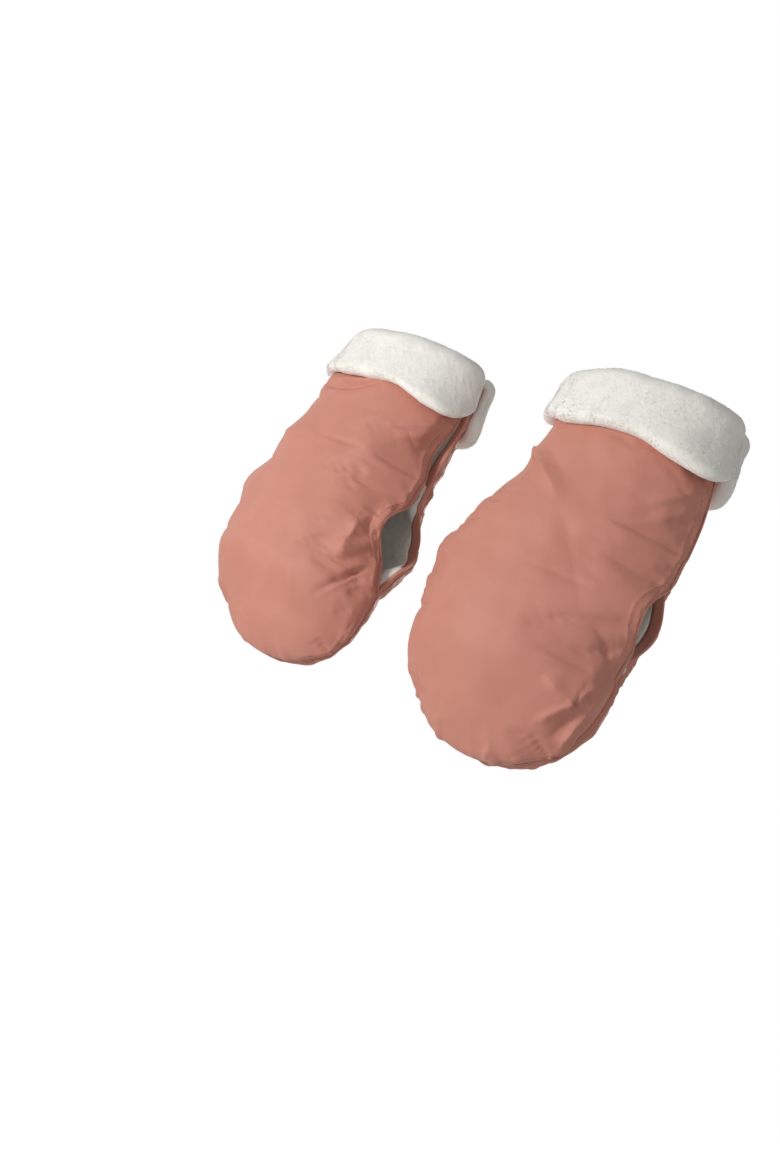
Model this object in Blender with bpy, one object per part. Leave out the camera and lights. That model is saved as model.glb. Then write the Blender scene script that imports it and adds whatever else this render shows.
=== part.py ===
"""A pair of padded stroller hand muffs.

Each muff is a mitten of two panels, front and back. A panel is a woven shell, a sheet of
wadding and a plush lining, and a plush cuff rolls over its top edge. The panels are sewn
together round the rounded tip. Above the tip their sides stay open as slots, so that the
muff wraps round a bar, and four press studs close them, above and below the bar. The studs
are riveted through the linings only, so that no metal shows outside.

Metres. X runs along the bar, Y from the front panel to the back panel, Z from the tip to
the cuffs. The origin is on the bar's axis, midway between the two muffs.
"""
import math

import bmesh
import bpy
from mathutils import Vector

# The pair and the bar that it is worn on
MUFF_SPACING = 0.255
BAR_DIAMETER = 0.038
BAR_PLAY = 0.0012
SLOT_CROWN_PLAY = 0.0025

# One muff, measured from the bar's axis
HALF_WIDTH = 0.0945
MOUTH_HEIGHT = 0.160
FOLD_DROP = 0.058
TIP_LENGTH = 0.087
STUD_LIP = 0.016
BAR_LIP = 0.011
FOLD_LIP = 0.010
SEAM_LIP = 0.005
MOUTH_LIP = 0.006
FRONT_CROWN = 0.044
BACK_CROWN = 0.037

# Cloth thicknesses
SHELL_THICKNESS = 0.0010
LINING_THICKNESS = 0.0022
WADDING_THICKNESS = 0.0065
FIT_GAP = 0.0003
SEAM_GAP = 0.0003

# Cuffs
FRONT_CUFF_DEPTH = 0.050
BACK_CUFF_DEPTH = 0.057
CUFF_THICKNESS = 0.0115
CUFF_ROLL = 0.0115
CUFF_OVERHANG = 0.004

# Open sides between the studs and the cuffs
SIDE_GAPE = 0.0055
MOUTH_GAPE = 0.0022

# Press studs
STUD_RISE = 0.040
STUD_SEAT_HALF = 0.009
STUD_INSET = 0.008
CAP_RADIUS = 0.0062
CAP_HEIGHT = 0.0016
SOCKET_RADIUS = 0.0058
SOCKET_HEIGHT = 0.0015
RECESS_DEPTH = 0.0012
BALL_RADIUS = 0.0022
BALL_HEIGHT = 0.0010
BALL_PLAY = 0.0004
BASE_HEIGHT = 0.0010
POST_RADIUS = 0.0055
POST_HEIGHT = 0.0013

# The front panel's hinge: how far the flap opens, with a little to spare
FLAP_OPENING_DEGREES = 60
FLAP_SPARE_DEGREES = 4

# Columns and rows of the cloth grids, and the shading's sharpest smooth angle
PUFF_COLUMNS = 8
TIP_ROWS = 5
STUD_SIDES = 12
SMOOTH_DEGREES = 40

# Weld and cut tolerances, as shares of the fit gap
WELD_SHARE = 0.01
CUT_SHARE = 0.001

# Width and crown of a panel by height: the height's share of the mouth's height above the
# bar, or of the fold's drop below it, then the share of the largest width or crown
WIDTH_SHARES = ((-1.0, 1.0), (0.0, 0.985), (0.3, 0.925), (0.65, 0.87), (1.0, 0.86))
CROWN_SHARES = ((-1.0, 0.95), (0.0, 1.0), (0.3, 0.94), (0.65, 0.78), (1.0, 0.68))
PUFF_POWER_SHARE = 0.60
PUFF_EDGE_SHARE = 0.999
WADDING_EDGE_SHARE = 0.3
SLOT_SHOULDER_SHARE = 0.52
GAPE_ROW_SHARES = (0.7, 0.34)
CUFF_WAIST_SHARE = 0.52
CUFF_END_SHARE = 0.6

# The cuff's outside, from the top of its roll down to its hem: the level that it hangs on,
# the rise there as a share of the roll, and the bulge as a share of the cuff's thickness
CUFF_OUTSIDE_SHARES = (("top", 0.75, 0.75), ("top", -0.2, 1.0), ("waist", 0.0, 1.1), ("hem", 0.26, 1.0),
                       ("hem", -0.26, 0.6))
CUFF_INSIDE_SHARE = 0.55
CUFF_TOP_SHARE = 0.45

# Main folds pressed into each muff: start and end as shares of the half width and of the
# mouth's height, then width and depth as shares of the crown. A negative depth is a valley.
FOLD_SHARES = {
    "left": {
        "front": ((0.80, -0.14, 0.42, -0.46, 0.42, -0.10), (0.62, 0.58, -0.20, 0.22, 0.50, -0.07),
                  (-0.75, 0.10, -0.35, -0.45, 0.45, 0.07)),
        "back": ((-0.60, 0.45, 0.30, 0.00, 0.50, -0.07),),
    },
    "right": {
        "front": ((0.55, -0.42, 0.10, -0.62, 0.42, -0.10), (0.66, 0.60, -0.10, 0.30, 0.50, -0.07),
                  (-0.80, 0.55, -0.55, 0.28, 0.40, -0.08)),
        "back": ((0.60, 0.40, -0.30, 0.05, 0.50, -0.07),),
    },
}

# Corners of each turned stud piece from its axis outwards and back: the radius as a share
# of the piece's own, then how far along its height
CAP_SHARES = ((0, 0), (1, 0), (1, 0.35), (0.72, 0.85), (0, 1))
SOCKET_SHARES = ((0, 0), (1, 0), (1, 0.7), (0.8, 1))
STUD_BASE_SHARES = ((0, 0), (1, 0), (0.9, 1))
BALL_SHARES = ((0.9, 0), (1, 0.5), (0.7, 1), (0, 1))
POST_SHARES = ((0, 0), (1, 0), (1, 0.5), (0.7, 1), (0, 1))

BAR_RADIUS = BAR_DIAMETER / 2
SLOT_HALF = STUD_RISE - STUD_SEAT_HALF
STUD_GAPE = (SOCKET_HEIGHT + BASE_HEIGHT + 3 * FIT_GAP) / 2
STUD_HEAD_ROOM = max(CAP_HEIGHT, POST_HEIGHT) + FIT_GAP
FRONT, BACK = "front", "back"
OUTWARD = {FRONT: -1, BACK: 1}
CROWNS = {FRONT: FRONT_CROWN, BACK: BACK_CROWN}
CUFF_DEPTHS = {FRONT: FRONT_CUFF_DEPTH, BACK: BACK_CUFF_DEPTH}
SIDES = {"left": -1, "right": 1}


# Finishes

def finish(name, colour, roughness, metallic=0.0, sheen=0.0):
    """A Principled material of one plain colour."""
    material = bpy.data.materials.new(name)
    material.use_nodes = True
    shader = material.node_tree.nodes["Principled BSDF"]
    shader.inputs["Base Color"].default_value = (*colour, 1.0)
    shader.inputs["Roughness"].default_value = roughness
    shader.inputs["Metallic"].default_value = metallic
    shader.inputs["Sheen Weight"].default_value = sheen
    return material


def rose_shell_finish():
    return finish("rose_woven_shell", (0.50, 0.205, 0.158), 0.62, sheen=0.15)


def plush_finish():
    return finish("cream_plush", (0.83, 0.80, 0.72), 0.92, sheen=0.4)


def wadding_finish():
    return finish("white_wadding", (0.85, 0.85, 0.85), 0.95)


def stud_finish():
    return finish("nickel_stud", (0.62, 0.60, 0.58), 0.28, metallic=1.0)


# Shape of a panel

def table_value(table, share):
    """The table's second column at a share of its first, eased from knot to knot."""
    for (low, first), (high, last) in zip(table, table[1:]):
        if share <= high:
            part = max(0.0, (share - low) / (high - low))
            return first + (last - first) * (1 - math.cos(math.pi * part)) / 2
    return table[-1][1]


def height_share(z):
    return z / MOUTH_HEIGHT if z > 0 else z / FOLD_DROP


def half_width(z):
    return HALF_WIDTH * table_value(WIDTH_SHARES, height_share(z))


def crown(z, face):
    return CROWNS[face] * table_value(CROWN_SHARES, height_share(z))


def straight_rows(face):
    """(height, half gape of the side slot, lip's width, room under the lip's shell for a
    stud's head) of each row, from the mouth down to the fold line."""
    hem = MOUTH_HEIGHT - CUFF_DEPTHS[face]
    waist = hem + CUFF_DEPTHS[face] * CUFF_WAIST_SHARE
    seat_top = STUD_RISE + STUD_SEAT_HALF
    shoulder = SLOT_SHOULDER_SHARE * SLOT_HALF
    rows = [(z, MOUTH_GAPE, MOUTH_LIP, 0.0) for z in (MOUTH_HEIGHT, waist, hem)]
    rows += [(seat_top + (hem - seat_top) * share, SIDE_GAPE, BAR_LIP, 0.0) for share in GAPE_ROW_SHARES]
    rows += [
        (seat_top, STUD_GAPE, STUD_LIP, STUD_HEAD_ROOM),
        (SLOT_HALF, STUD_GAPE, STUD_LIP, STUD_HEAD_ROOM),
        (shoulder, BAR_RADIUS + BAR_PLAY, BAR_LIP, 0.0),
        (0.0, BAR_RADIUS + BAR_PLAY + SLOT_CROWN_PLAY, BAR_LIP, 0.0),
        (-shoulder, BAR_RADIUS + BAR_PLAY, BAR_LIP, 0.0),
        (-SLOT_HALF, STUD_GAPE, STUD_LIP, STUD_HEAD_ROOM),
        (-seat_top, STUD_GAPE, STUD_LIP, STUD_HEAD_ROOM),
        (-FOLD_DROP, SEAM_GAP / 2, FOLD_LIP, 0.0),
    ]
    return rows


def column_shares(inner):
    """Places across a row, from -1 to 1: the lip's outer edge, then the puff, whose ends
    are the lip's inner edges at plus and minus inner."""
    angles = [math.pi * (k / PUFF_COLUMNS - 0.5) for k in range(PUFF_COLUMNS + 1)]
    return [-1.0] + [inner * math.sin(angle) for angle in angles] + [1.0]


def in_puff(share, edge):
    """Whether a place is well inside the puffed area, whose edge is at plus and minus edge."""
    return abs(share) < edge * PUFF_EDGE_SHARE


def puff(across, along):
    """1 in the middle of the puffed area, 0 at its edge, from two places in it, -1 to 1."""
    left = max(0.0, 1 - across * across) * max(0.0, 1 - along * along)
    return left ** PUFF_POWER_SHARE


def fold_shift(side, face, x, z):
    """How far the main folds lift the cloth at a place, as a share of the crown."""
    lift = 0.0
    for x1, z1, x2, z2, width, depth in FOLD_SHARES[side][face]:
        start = Vector((x1 * HALF_WIDTH, z1 * MOUTH_HEIGHT))
        run = Vector((x2 * HALF_WIDTH, z2 * MOUTH_HEIGHT)) - start
        way = Vector((x, z)) - start
        part = min(1.0, max(0.0, way.dot(run) / run.length_squared))
        distance = (way - run * part).length
        lift += depth * math.exp(-(distance / (width * CROWNS[face])) ** 2)
    return lift


def panel_rows(side, face):
    """Rows of knots of the lining's inner face. A knot is (x, y, z, padding, hollow): padding
    is the wadding's thickness, or None on the lips, which have no wadding, and hollow is the
    room that a lip leaves for a stud's head under the shell."""
    out = OUTWARD[face]
    rows = []
    for z, gape, lip, hollow in straight_rows(face):
        width = half_width(z)
        inner = (width - lip) / width
        row = []
        for share in column_shares(inner):
            rise = puff(share / inner, 0.0) if in_puff(share, inner) else 0.0
            rise *= 1 + fold_shift(side, face, share * width, z)
            depth = gape + (crown(z, face) - gape) * rise
            row.append((share * width, out * depth, z, padding(share, inner, rise), hollow))
        rows.append(row)
    rows += tip_rows(side, face)
    return rows


def tip_rows(side, face):
    """The rows below the fold line. Square places (across, along) are rounded onto a half
    ellipse: across * sqrt(1 - along^2 / 2) and along * sqrt(1 - across^2 / 2)."""
    out = OUTWARD[face]
    width = half_width(-FOLD_DROP)
    inner = (width - SEAM_LIP) / width
    deep = (TIP_LENGTH - SEAM_LIP) / TIP_LENGTH
    steps = [deep * math.sin(math.pi / 2 * k / TIP_ROWS) for k in range(1, TIP_ROWS + 1)] + [1.0]
    rows = []
    for along in steps:
        row = []
        for share in column_shares(inner):
            x = width * share * math.sqrt(1 - along * along / 2)
            z = -FOLD_DROP - TIP_LENGTH * along * math.sqrt(1 - share * share / 2)
            puffed = in_puff(share, inner) and in_puff(along, deep)
            rise = puff(share / inner, along / deep) if puffed else 0.0
            rise *= 1 + fold_shift(side, face, x, z)
            y = out * (SEAM_GAP / 2 + crown(-FOLD_DROP, face) * rise)
            row.append((x, y, z, padding(share, inner, rise) if puffed else None, 0.0))
        rows.append(row)
    return rows


def padding(share, inner, rise):
    """The wadding's thickness, or None on the lips."""
    if not in_puff(share, inner):
        return None
    return WADDING_THICKNESS * (WADDING_EDGE_SHARE + (1 - WADDING_EDGE_SHARE) * min(1.0, rise))


def shell_offset(knot):
    """How far the shell's inner face lies outside the lining's inner face."""
    under = knot[4] if knot[3] is None else knot[3] + FIT_GAP
    return LINING_THICKNESS + FIT_GAP + under


# Meshes

def mesh_object(name, bm, material, parent, location):
    """Turns a bmesh into a named object under its parent, shaded smooth."""
    bmesh.ops.remove_doubles(bm, verts=bm.verts, dist=FIT_GAP * WELD_SHARE)
    bmesh.ops.recalc_face_normals(bm, faces=bm.faces)
    mesh = bpy.data.meshes.new(name)
    bm.to_mesh(mesh)
    bm.free()
    mesh.materials.append(material)
    mesh.shade_smooth()
    mesh.set_sharp_from_angle(angle=math.radians(SMOOTH_DEGREES))
    thing = bpy.data.objects.new(name, mesh)
    bpy.context.scene.collection.objects.link(thing)
    thing.parent = parent
    thing.location = location
    return thing


def slab(near, far):
    """A closed sheet between two equal grids of points. Each square is split along the same
    diagonal, so that sheets one on another keep their gap."""
    bm = bmesh.new()
    grids = [[[bm.verts.new(point) for point in row] for row in grid] for grid in (near, far)]
    last_row, last_column = len(near) - 1, len(near[0]) - 1
    for grid in grids:
        for i in range(last_row):
            for j in range(last_column):
                bm.faces.new((grid[i][j], grid[i][j + 1], grid[i + 1][j + 1]))
                bm.faces.new((grid[i][j], grid[i + 1][j + 1], grid[i + 1][j]))
    rim = [(0, j) for j in range(last_column)]
    rim += [(i, last_column) for i in range(last_row)]
    rim += [(last_row, j) for j in range(last_column, 0, -1)]
    rim += [(i, 0) for i in range(last_row, 0, -1)]
    for (i, j), (k, l) in zip(rim, rim[1:] + rim[:1]):
        bm.faces.new((grids[0][i][j], grids[0][k][l], grids[1][k][l], grids[1][i][j]))
    return bm


def shifted(knot, offset, face):
    x, y, z = knot[:3]
    return (x, y + OUTWARD[face] * offset, z)


def lining_sheet(rows, face):
    near = [[shifted(knot, 0.0, face) for knot in row] for row in rows]
    far = [[shifted(knot, LINING_THICKNESS, face) for knot in row] for row in rows]
    return slab(near, far)


def wadding_sheet(rows, face):
    start = LINING_THICKNESS + FIT_GAP
    padded = [[knot for knot in row if knot[3] is not None] for row in rows]
    padded = [row for row in padded if row]
    near = [[shifted(knot, start, face) for knot in row] for row in padded]
    far = [[shifted(knot, start + knot[3], face) for knot in row] for row in padded]
    return slab(near, far)


def shell_sheet(rows, face):
    near = [[shifted(knot, shell_offset(knot), face) for knot in row] for row in rows]
    far = [[shifted(knot, shell_offset(knot) + SHELL_THICKNESS, face) for knot in row] for row in rows]
    return slab(near, far)


def keep_side(bm, tilt, lift, above):
    """Cuts a closed mesh by a plane through the flap's hinge line and keeps one side. The
    plane leans up or down towards the front by tilt, and is raised by lift."""
    normal = Vector((0.0, math.sin(tilt), math.cos(tilt)))
    if above:
        normal = -normal
    geometry = bm.verts[:] + bm.edges[:] + bm.faces[:]
    on_line = (0.0, 0.0, lift - FOLD_DROP)
    bmesh.ops.bisect_plane(bm, geom=geometry, dist=FIT_GAP * CUT_SHARE, plane_co=on_line,
                           plane_no=normal, clear_outer=True)
    rim = [edge for edge in bm.edges if edge.is_boundary]
    bmesh.ops.holes_fill(bm, edges=rim, sides=0)


def front_pieces(sheet, rows):
    """The flap, fold and tip of one layer of the front panel. The fold is the wedge of
    cloth that crumples as the flap tips forward."""
    half = math.radians(FLAP_OPENING_DEGREES + FLAP_SPARE_DEGREES) / 2
    fold_lift = FIT_GAP / 2
    clear_lift = fold_lift + FIT_GAP / math.cos(half)
    flap, fold, tip = sheet(rows, FRONT), sheet(rows, FRONT), sheet(rows, FRONT)
    keep_side(flap, half, clear_lift, above=True)
    keep_side(fold, half, fold_lift, above=False)
    keep_side(fold, -half, -fold_lift, above=True)
    keep_side(tip, -half, -clear_lift, above=False)
    return {"flap": flap, "fold": fold, "tip": tip}


def cuff_profile(stack, thickness):
    """(level, rise above it, distance outside the shell) of each corner of a cuff's hooked
    profile, over cloth that is stack thick."""
    inside = [
        ("hem", 0.0, FIT_GAP),
        ("waist", 0.0, FIT_GAP),
        ("top", FIT_GAP, FIT_GAP),
        ("top", FIT_GAP, -stack),
        ("top", CUFF_INSIDE_SHARE * CUFF_ROLL, -stack),
        ("top", CUFF_ROLL, CUFF_TOP_SHARE * (thickness - stack)),
    ]
    outside = [(level, rise * CUFF_ROLL, bulge * thickness) for level, rise, bulge in CUFF_OUTSIDE_SHARES]
    return inside + outside


def cuff_roll(rows, face):
    """The cuff: one hooked profile carried from lip to lip. It starts outside the shell at
    the hem, goes over the cloth's top edge and comes back down outside, as thick plush. Its
    squares are split along the shell's diagonals."""
    bm = bmesh.new()
    loops = []
    last = len(rows[0]) - 1
    for j in range(last + 1):
        places = dict(zip(("top", "waist", "hem"), (row[j] for row in rows[:3])))
        stack = shell_offset(places["top"]) + SHELL_THICKNESS
        at_end = j in (0, last)
        spread = math.copysign(CUFF_OVERHANG, places["top"][0]) if at_end else 0.0
        thickness = CUFF_THICKNESS * (CUFF_END_SHARE if at_end else 1.0)
        loop = []
        for level, rise, offset in cuff_profile(stack, thickness):
            x, y, z = places[level][:3]
            outer = shell_offset(places[level]) + SHELL_THICKNESS
            loop.append(bm.verts.new((x + spread, y + OUTWARD[face] * (outer + offset), z + rise)))
        loops.append(loop)
    count = len(loops[0])
    for one, other in zip(loops, loops[1:]):
        for k in range(count):
            n = (k + 1) % count
            bm.faces.new((one[k], one[n], other[k]))
            bm.faces.new((one[n], other[n], other[k]))
    bm.faces.new(loops[0])
    bm.faces.new(reversed(loops[-1]))
    return bm


def turned(profile):
    """A closed body turned about the Y axis from (radius, y) points, pole to pole."""
    bm = bmesh.new()
    rings = []
    for radius, y in profile:
        if radius == 0:
            rings.append([bm.verts.new((0.0, y, 0.0))])
            continue
        angles = [2 * math.pi * k / STUD_SIDES for k in range(STUD_SIDES)]
        rings.append([bm.verts.new((radius * math.cos(a), y, radius * math.sin(a))) for a in angles])
    for one, other in zip(rings, rings[1:]):
        for k in range(STUD_SIDES):
            n = (k + 1) % STUD_SIDES
            ring = [one[k % len(one)], one[n % len(one)], other[n % len(other)], other[k % len(other)]]
            bm.faces.new(list(dict.fromkeys(ring)))
    return bm


# Press studs. Heights are measured along Y from the mid plane between the two panels.

def stud_levels():
    """Where each piece of a stud starts, along Y."""
    behind_lining = STUD_GAPE + LINING_THICKNESS + FIT_GAP
    return {
        "cap": -behind_lining,
        "socket": FIT_GAP - STUD_GAPE,
        "stud": STUD_GAPE - FIT_GAP,
        "post": behind_lining,
    }


def corners(shares, radius, start, height):
    """(radius, y) of each corner of a profile that rises from start by height along Y."""
    return [(radius * across, start + height * along) for across, along in shares]


def stud_profiles():
    """Each stud piece's turned profile. The caps and the sockets are on the flap's side."""
    level = stud_levels()
    mouth = level["socket"] + SOCKET_HEIGHT
    bore = BALL_RADIUS + BALL_PLAY
    recess = [(bore, mouth), (bore, mouth - RECESS_DEPTH), (0, mouth - RECESS_DEPTH)]
    neck = level["stud"] - BASE_HEIGHT
    base = corners(STUD_BASE_SHARES, SOCKET_RADIUS, level["stud"], -BASE_HEIGHT)
    return {
        "cap": corners(CAP_SHARES, CAP_RADIUS, level["cap"], -CAP_HEIGHT),
        "socket": corners(SOCKET_SHARES, SOCKET_RADIUS, level["socket"], SOCKET_HEIGHT) + recess,
        "stud": base + corners(BALL_SHARES, BALL_RADIUS, neck, -BALL_HEIGHT),
        "post": corners(POST_SHARES, POST_RADIUS, level["post"], POST_HEIGHT),
    }


def stud_places():
    """Name and place (x, z) of a muff's four studs."""
    places = []
    for level, z in (("upper", STUD_RISE), ("lower", -STUD_RISE)):
        edge = min(half_width(z - STUD_SEAT_HALF), half_width(z + STUD_SEAT_HALF)) - STUD_INSET
        places += [(f"{level}_outer", -edge, z), (f"{level}_inner", edge, z)]
    return places


# Assembly

def empty(name, location):
    thing = bpy.data.objects.new(name, None)
    thing.location = location
    bpy.context.scene.collection.objects.link(thing)
    return thing


def build_muff(side, finishes):
    """One muff. Its flap's pieces hang on an empty on the hinge line, the rest on the muff's."""
    x = SIDES[side] * MUFF_SPACING / 2
    muff = empty(f"{side}_muff", (x, 0.0, 0.0))
    hinge = empty(f"{side}_flap_hinge", (x, 0.0, -FOLD_DROP))
    on_muff = (muff, (0.0, 0.0, 0.0))
    on_flap = (hinge, (0.0, 0.0, FOLD_DROP))
    layers = (("shell", shell_sheet), ("wadding", wadding_sheet), ("lining", lining_sheet))
    front = panel_rows(side, FRONT)
    back = panel_rows(side, BACK)
    for layer, sheet in layers:
        for zone, bm in front_pieces(sheet, front).items():
            carrier = on_flap if zone == "flap" else on_muff
            mesh_object(f"{side}_front_{zone}_{layer}", bm, finishes[layer], *carrier)
        mesh_object(f"{side}_back_{layer}", sheet(back, BACK), finishes[layer], *on_muff)
    mesh_object(f"{side}_front_cuff", cuff_roll(front, FRONT), finishes["lining"], *on_flap)
    mesh_object(f"{side}_back_cuff", cuff_roll(back, BACK), finishes["lining"], *on_muff)
    for place, stud_x, stud_z in stud_places():
        for piece, profile in stud_profiles().items():
            parent, base = on_flap if piece in ("cap", "socket") else on_muff
            location = Vector(base) + Vector((stud_x, 0.0, stud_z))
            mesh_object(f"{side}_{place}_{piece}", turned(profile), finishes["stud"], parent, location)


def main():
    for thing in list(bpy.data.objects):
        bpy.data.objects.remove(thing, do_unlink=True)
    finishes = {
        "shell": rose_shell_finish(),
        "lining": plush_finish(),
        "wadding": wadding_finish(),
        "stud": stud_finish(),
    }
    for side in SIDES:
        build_muff(side, finishes)


main()
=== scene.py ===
"""A pair of padded stroller hand muffs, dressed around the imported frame.

Each muff is a mitten of two panels, front and back. A panel is a woven shell over wadding
and a plush lining, with a thick plush cuff over its top edge. The panels are sewn together
round the tip, and above it four press studs close the open sides round the bar.

Metres, in the frame's own axes: X along the bar, Y from front to back, Z from tip to cuff.
"""

import logging
import math
from dataclasses import dataclass, field, replace
from enum import Enum

import bpy
import numpy as np
from mathutils import Matrix, Vector

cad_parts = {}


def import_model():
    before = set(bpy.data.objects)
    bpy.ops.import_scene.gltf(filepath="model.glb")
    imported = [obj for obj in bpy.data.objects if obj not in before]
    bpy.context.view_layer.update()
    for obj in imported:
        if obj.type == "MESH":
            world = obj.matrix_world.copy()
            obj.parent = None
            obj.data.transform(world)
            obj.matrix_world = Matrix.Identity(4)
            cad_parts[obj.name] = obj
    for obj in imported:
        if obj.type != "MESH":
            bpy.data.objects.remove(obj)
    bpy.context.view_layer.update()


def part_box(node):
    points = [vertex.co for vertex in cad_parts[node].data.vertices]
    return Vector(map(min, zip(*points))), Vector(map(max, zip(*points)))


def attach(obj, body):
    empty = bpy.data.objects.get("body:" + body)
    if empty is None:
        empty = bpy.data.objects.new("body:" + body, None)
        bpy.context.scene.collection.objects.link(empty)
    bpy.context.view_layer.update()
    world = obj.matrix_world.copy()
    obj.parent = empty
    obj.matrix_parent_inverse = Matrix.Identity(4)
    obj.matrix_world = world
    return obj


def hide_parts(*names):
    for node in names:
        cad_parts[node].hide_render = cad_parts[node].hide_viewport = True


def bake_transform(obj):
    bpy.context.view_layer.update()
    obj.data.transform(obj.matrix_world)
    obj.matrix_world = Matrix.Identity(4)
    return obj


LOG = logging.getLogger("hand_muffs")
Array = np.ndarray
PHOTO_HEIGHT = 1170
TINY = 1e-12


class Named(Enum):
    """An enum whose members' names are words in the names of the frame's nodes."""

    @property
    def word(self) -> str:
        """The member's name in lower case."""
        return self.name.lower()


class Side(Named):
    """Which muff of the pair, by its place along X."""

    LEFT = -1
    RIGHT = 1


class Face(Named):
    """Which panel of a muff, by its outward direction along Y."""

    FRONT = -1
    BACK = 1


# Arithmetic on whole arrays

def eased(knots: Array, places: Array) -> Array:
    """Reads a table of (place, value) rows at many places, eased from knot to knot.

    Between two knots the value is first + (last - first) * (1 - cos(pi * part)) / 2.

    Args:
        knots: rows of place and value, places rising.
        places: where to read the table.

    Returns:
        One value for each place.
    """
    table = np.asarray(knots, float)
    index = np.clip(np.searchsorted(table[:, 0], places, side="right") - 1, 0, len(table) - 2)
    low, high = table[index], table[index + 1]
    part = np.clip((places - low[..., 0]) / (high[..., 0] - low[..., 0]), 0, 1)
    return low[..., 1] + (high[..., 1] - low[..., 1]) * (1 - np.cos(np.pi * part)) / 2


def flowing(knots: Array, places: Array) -> Array:
    """Reads a table of (place, value) rows at many places, along a smooth curve.

    Between two knots it is the cubic with the knots' values and slopes. A knot's slope is
    that of the line between its neighbours, and zero at a peak or a dip.

    Args:
        knots: rows of place and value, places rising.
        places: where to read the table.

    Returns:
        One value for each place.
    """
    table = np.asarray(knots, float)
    place, value = table[:, 0], table[:, 1]
    rises = np.diff(value) / np.diff(place)
    slope = np.zeros(len(table))
    inner = (value[2:] - value[:-2]) / (place[2:] - place[:-2])
    steady = rises[1:] * rises[:-1] > 0
    limit = 3 * np.minimum(np.abs(rises[1:]), np.abs(rises[:-1]))
    slope[1:-1] = np.where(steady, np.clip(inner, -limit, limit), 0)
    index = np.clip(np.searchsorted(place, places, side="right") - 1, 0, len(table) - 2)
    gap = place[index + 1] - place[index]
    t = np.clip((places - place[index]) / gap, 0, 1)
    return (value[index] * (1 + 2 * t) * (1 - t) ** 2 + value[index + 1] * t * t * (3 - 2 * t)
            + gap * (slope[index] * t * (1 - t) ** 2 - slope[index + 1] * t * t * (1 - t)))


def smooth(values: Array, start: float, end: float) -> Array:
    """3t^2 - 2t^3, where t is how far each value has come from start to end, from 0 to 1."""
    part = np.clip((values - start) / (end - start), 0, 1)
    return part * part * (3 - 2 * part)


def soft_limit(values: Array, limit: Array) -> Array:
    """Values that level off at plus and minus the limit: limit * tanh(value / limit)."""
    return limit * np.tanh(values / limit)


def rounded(share: Array, least: float = 0.0) -> Array:
    """A quarter circle's height at each share of its radius: sqrt(1 - (1 - share)^2)."""
    return np.sqrt(np.clip(1 - (1 - np.minimum(share, 1)) ** 2, least, 1))


def run_lengths(points: Array) -> Array:
    """The length along a line of points, from its start to each point."""
    steps = np.linalg.norm(np.diff(points, axis=0), axis=-1)
    return np.concatenate([[0], np.cumsum(steps)])


def normals_of(points: Array) -> Array:
    """Unit normals of a grid of points: the row step crossed with the column step.

    Args:
        points: grid of shape (rows, columns, 3).

    Returns:
        An array of the same shape.
    """
    down = np.gradient(points, axis=0)
    across = np.gradient(points, axis=1)
    normal = np.cross(down, across)
    return normal / np.maximum(np.linalg.norm(normal, axis=-1, keepdims=True), TINY)


def unit(vectors: Array) -> Array:
    """Vectors scaled to a length of one."""
    return vectors / np.linalg.norm(vectors, axis=-1, keepdims=True)


def edge_lengths(points: Array) -> Array:
    """The length along each row of a grid from its nearer end to each point."""
    steps = np.linalg.norm(np.diff(points, axis=1), axis=-1)
    run = np.concatenate([np.zeros((len(points), 1)), np.cumsum(steps, axis=1)], axis=1)
    return np.minimum(run, run[:, -1:] - run)


def spline_weights(knots: int, places: int) -> Array:
    """Catmull-Rom weights from evenly spaced knots to evenly spaced places between them.

    Args:
        knots: how many knots there are.
        places: how many places there are.

    Returns:
        A matrix of shape (places, knots), whose rows add up to 1.
    """
    at = np.linspace(0, knots - 1, places)
    base = np.clip(at.astype(int), 0, knots - 2)
    t = (at - base)[:, None]
    cubic = np.hstack([
        -0.5 * t + t ** 2 - 0.5 * t ** 3,
        1 - 2.5 * t ** 2 + 1.5 * t ** 3,
        0.5 * t + 2 * t ** 2 - 1.5 * t ** 3,
        -0.5 * t ** 2 + 0.5 * t ** 3,
    ])
    weights = np.zeros((places, knots))
    for step in range(4):
        near = np.clip(base - 1 + step, 0, knots - 1)
        np.add.at(weights, (np.arange(places), near), cubic[:, step])
    return weights


def refined(values: Array, rows: int, columns: int) -> Array:
    """A coarse grid of vectors read on a finer grid by Catmull-Rom splines both ways."""
    by_row = np.tensordot(spline_weights(values.shape[0], rows), values, axes=(1, 0))
    by_column = np.tensordot(spline_weights(values.shape[1], columns), by_row, axes=(1, 1))
    return by_column.swapaxes(0, 1)


@dataclass(frozen=True)
class Waves:
    """Seeded noise without a grid: many sine waves of one length, in all directions.

    The value at a point p is the sum of sin(2 pi k.p / length + phase), over the square
    root of half the number of waves, so that it mostly lies between -2 and 2.
    """

    length: float
    seed: int
    count: int = 28
    spread: float = 0.35

    def at(self, points: Array) -> Array:
        """The noise's value at each point.

        Args:
            points: any grid of points, with x, y and z on the last axis.

        Returns:
            An array without the last axis.
        """
        draw = np.random.default_rng(self.seed)
        ways = unit(draw.normal(size=(self.count, points.shape[-1])))
        ways *= (1 + self.spread * draw.uniform(-1, 1, (self.count, 1))) * 2 * np.pi / self.length
        phases = draw.uniform(0, 2 * np.pi, self.count)
        total = np.zeros(points.shape[:-1])
        for way, phase in zip(ways, phases):
            total += np.sin(points @ way + phase)
        return total / math.sqrt(self.count / 2)


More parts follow.
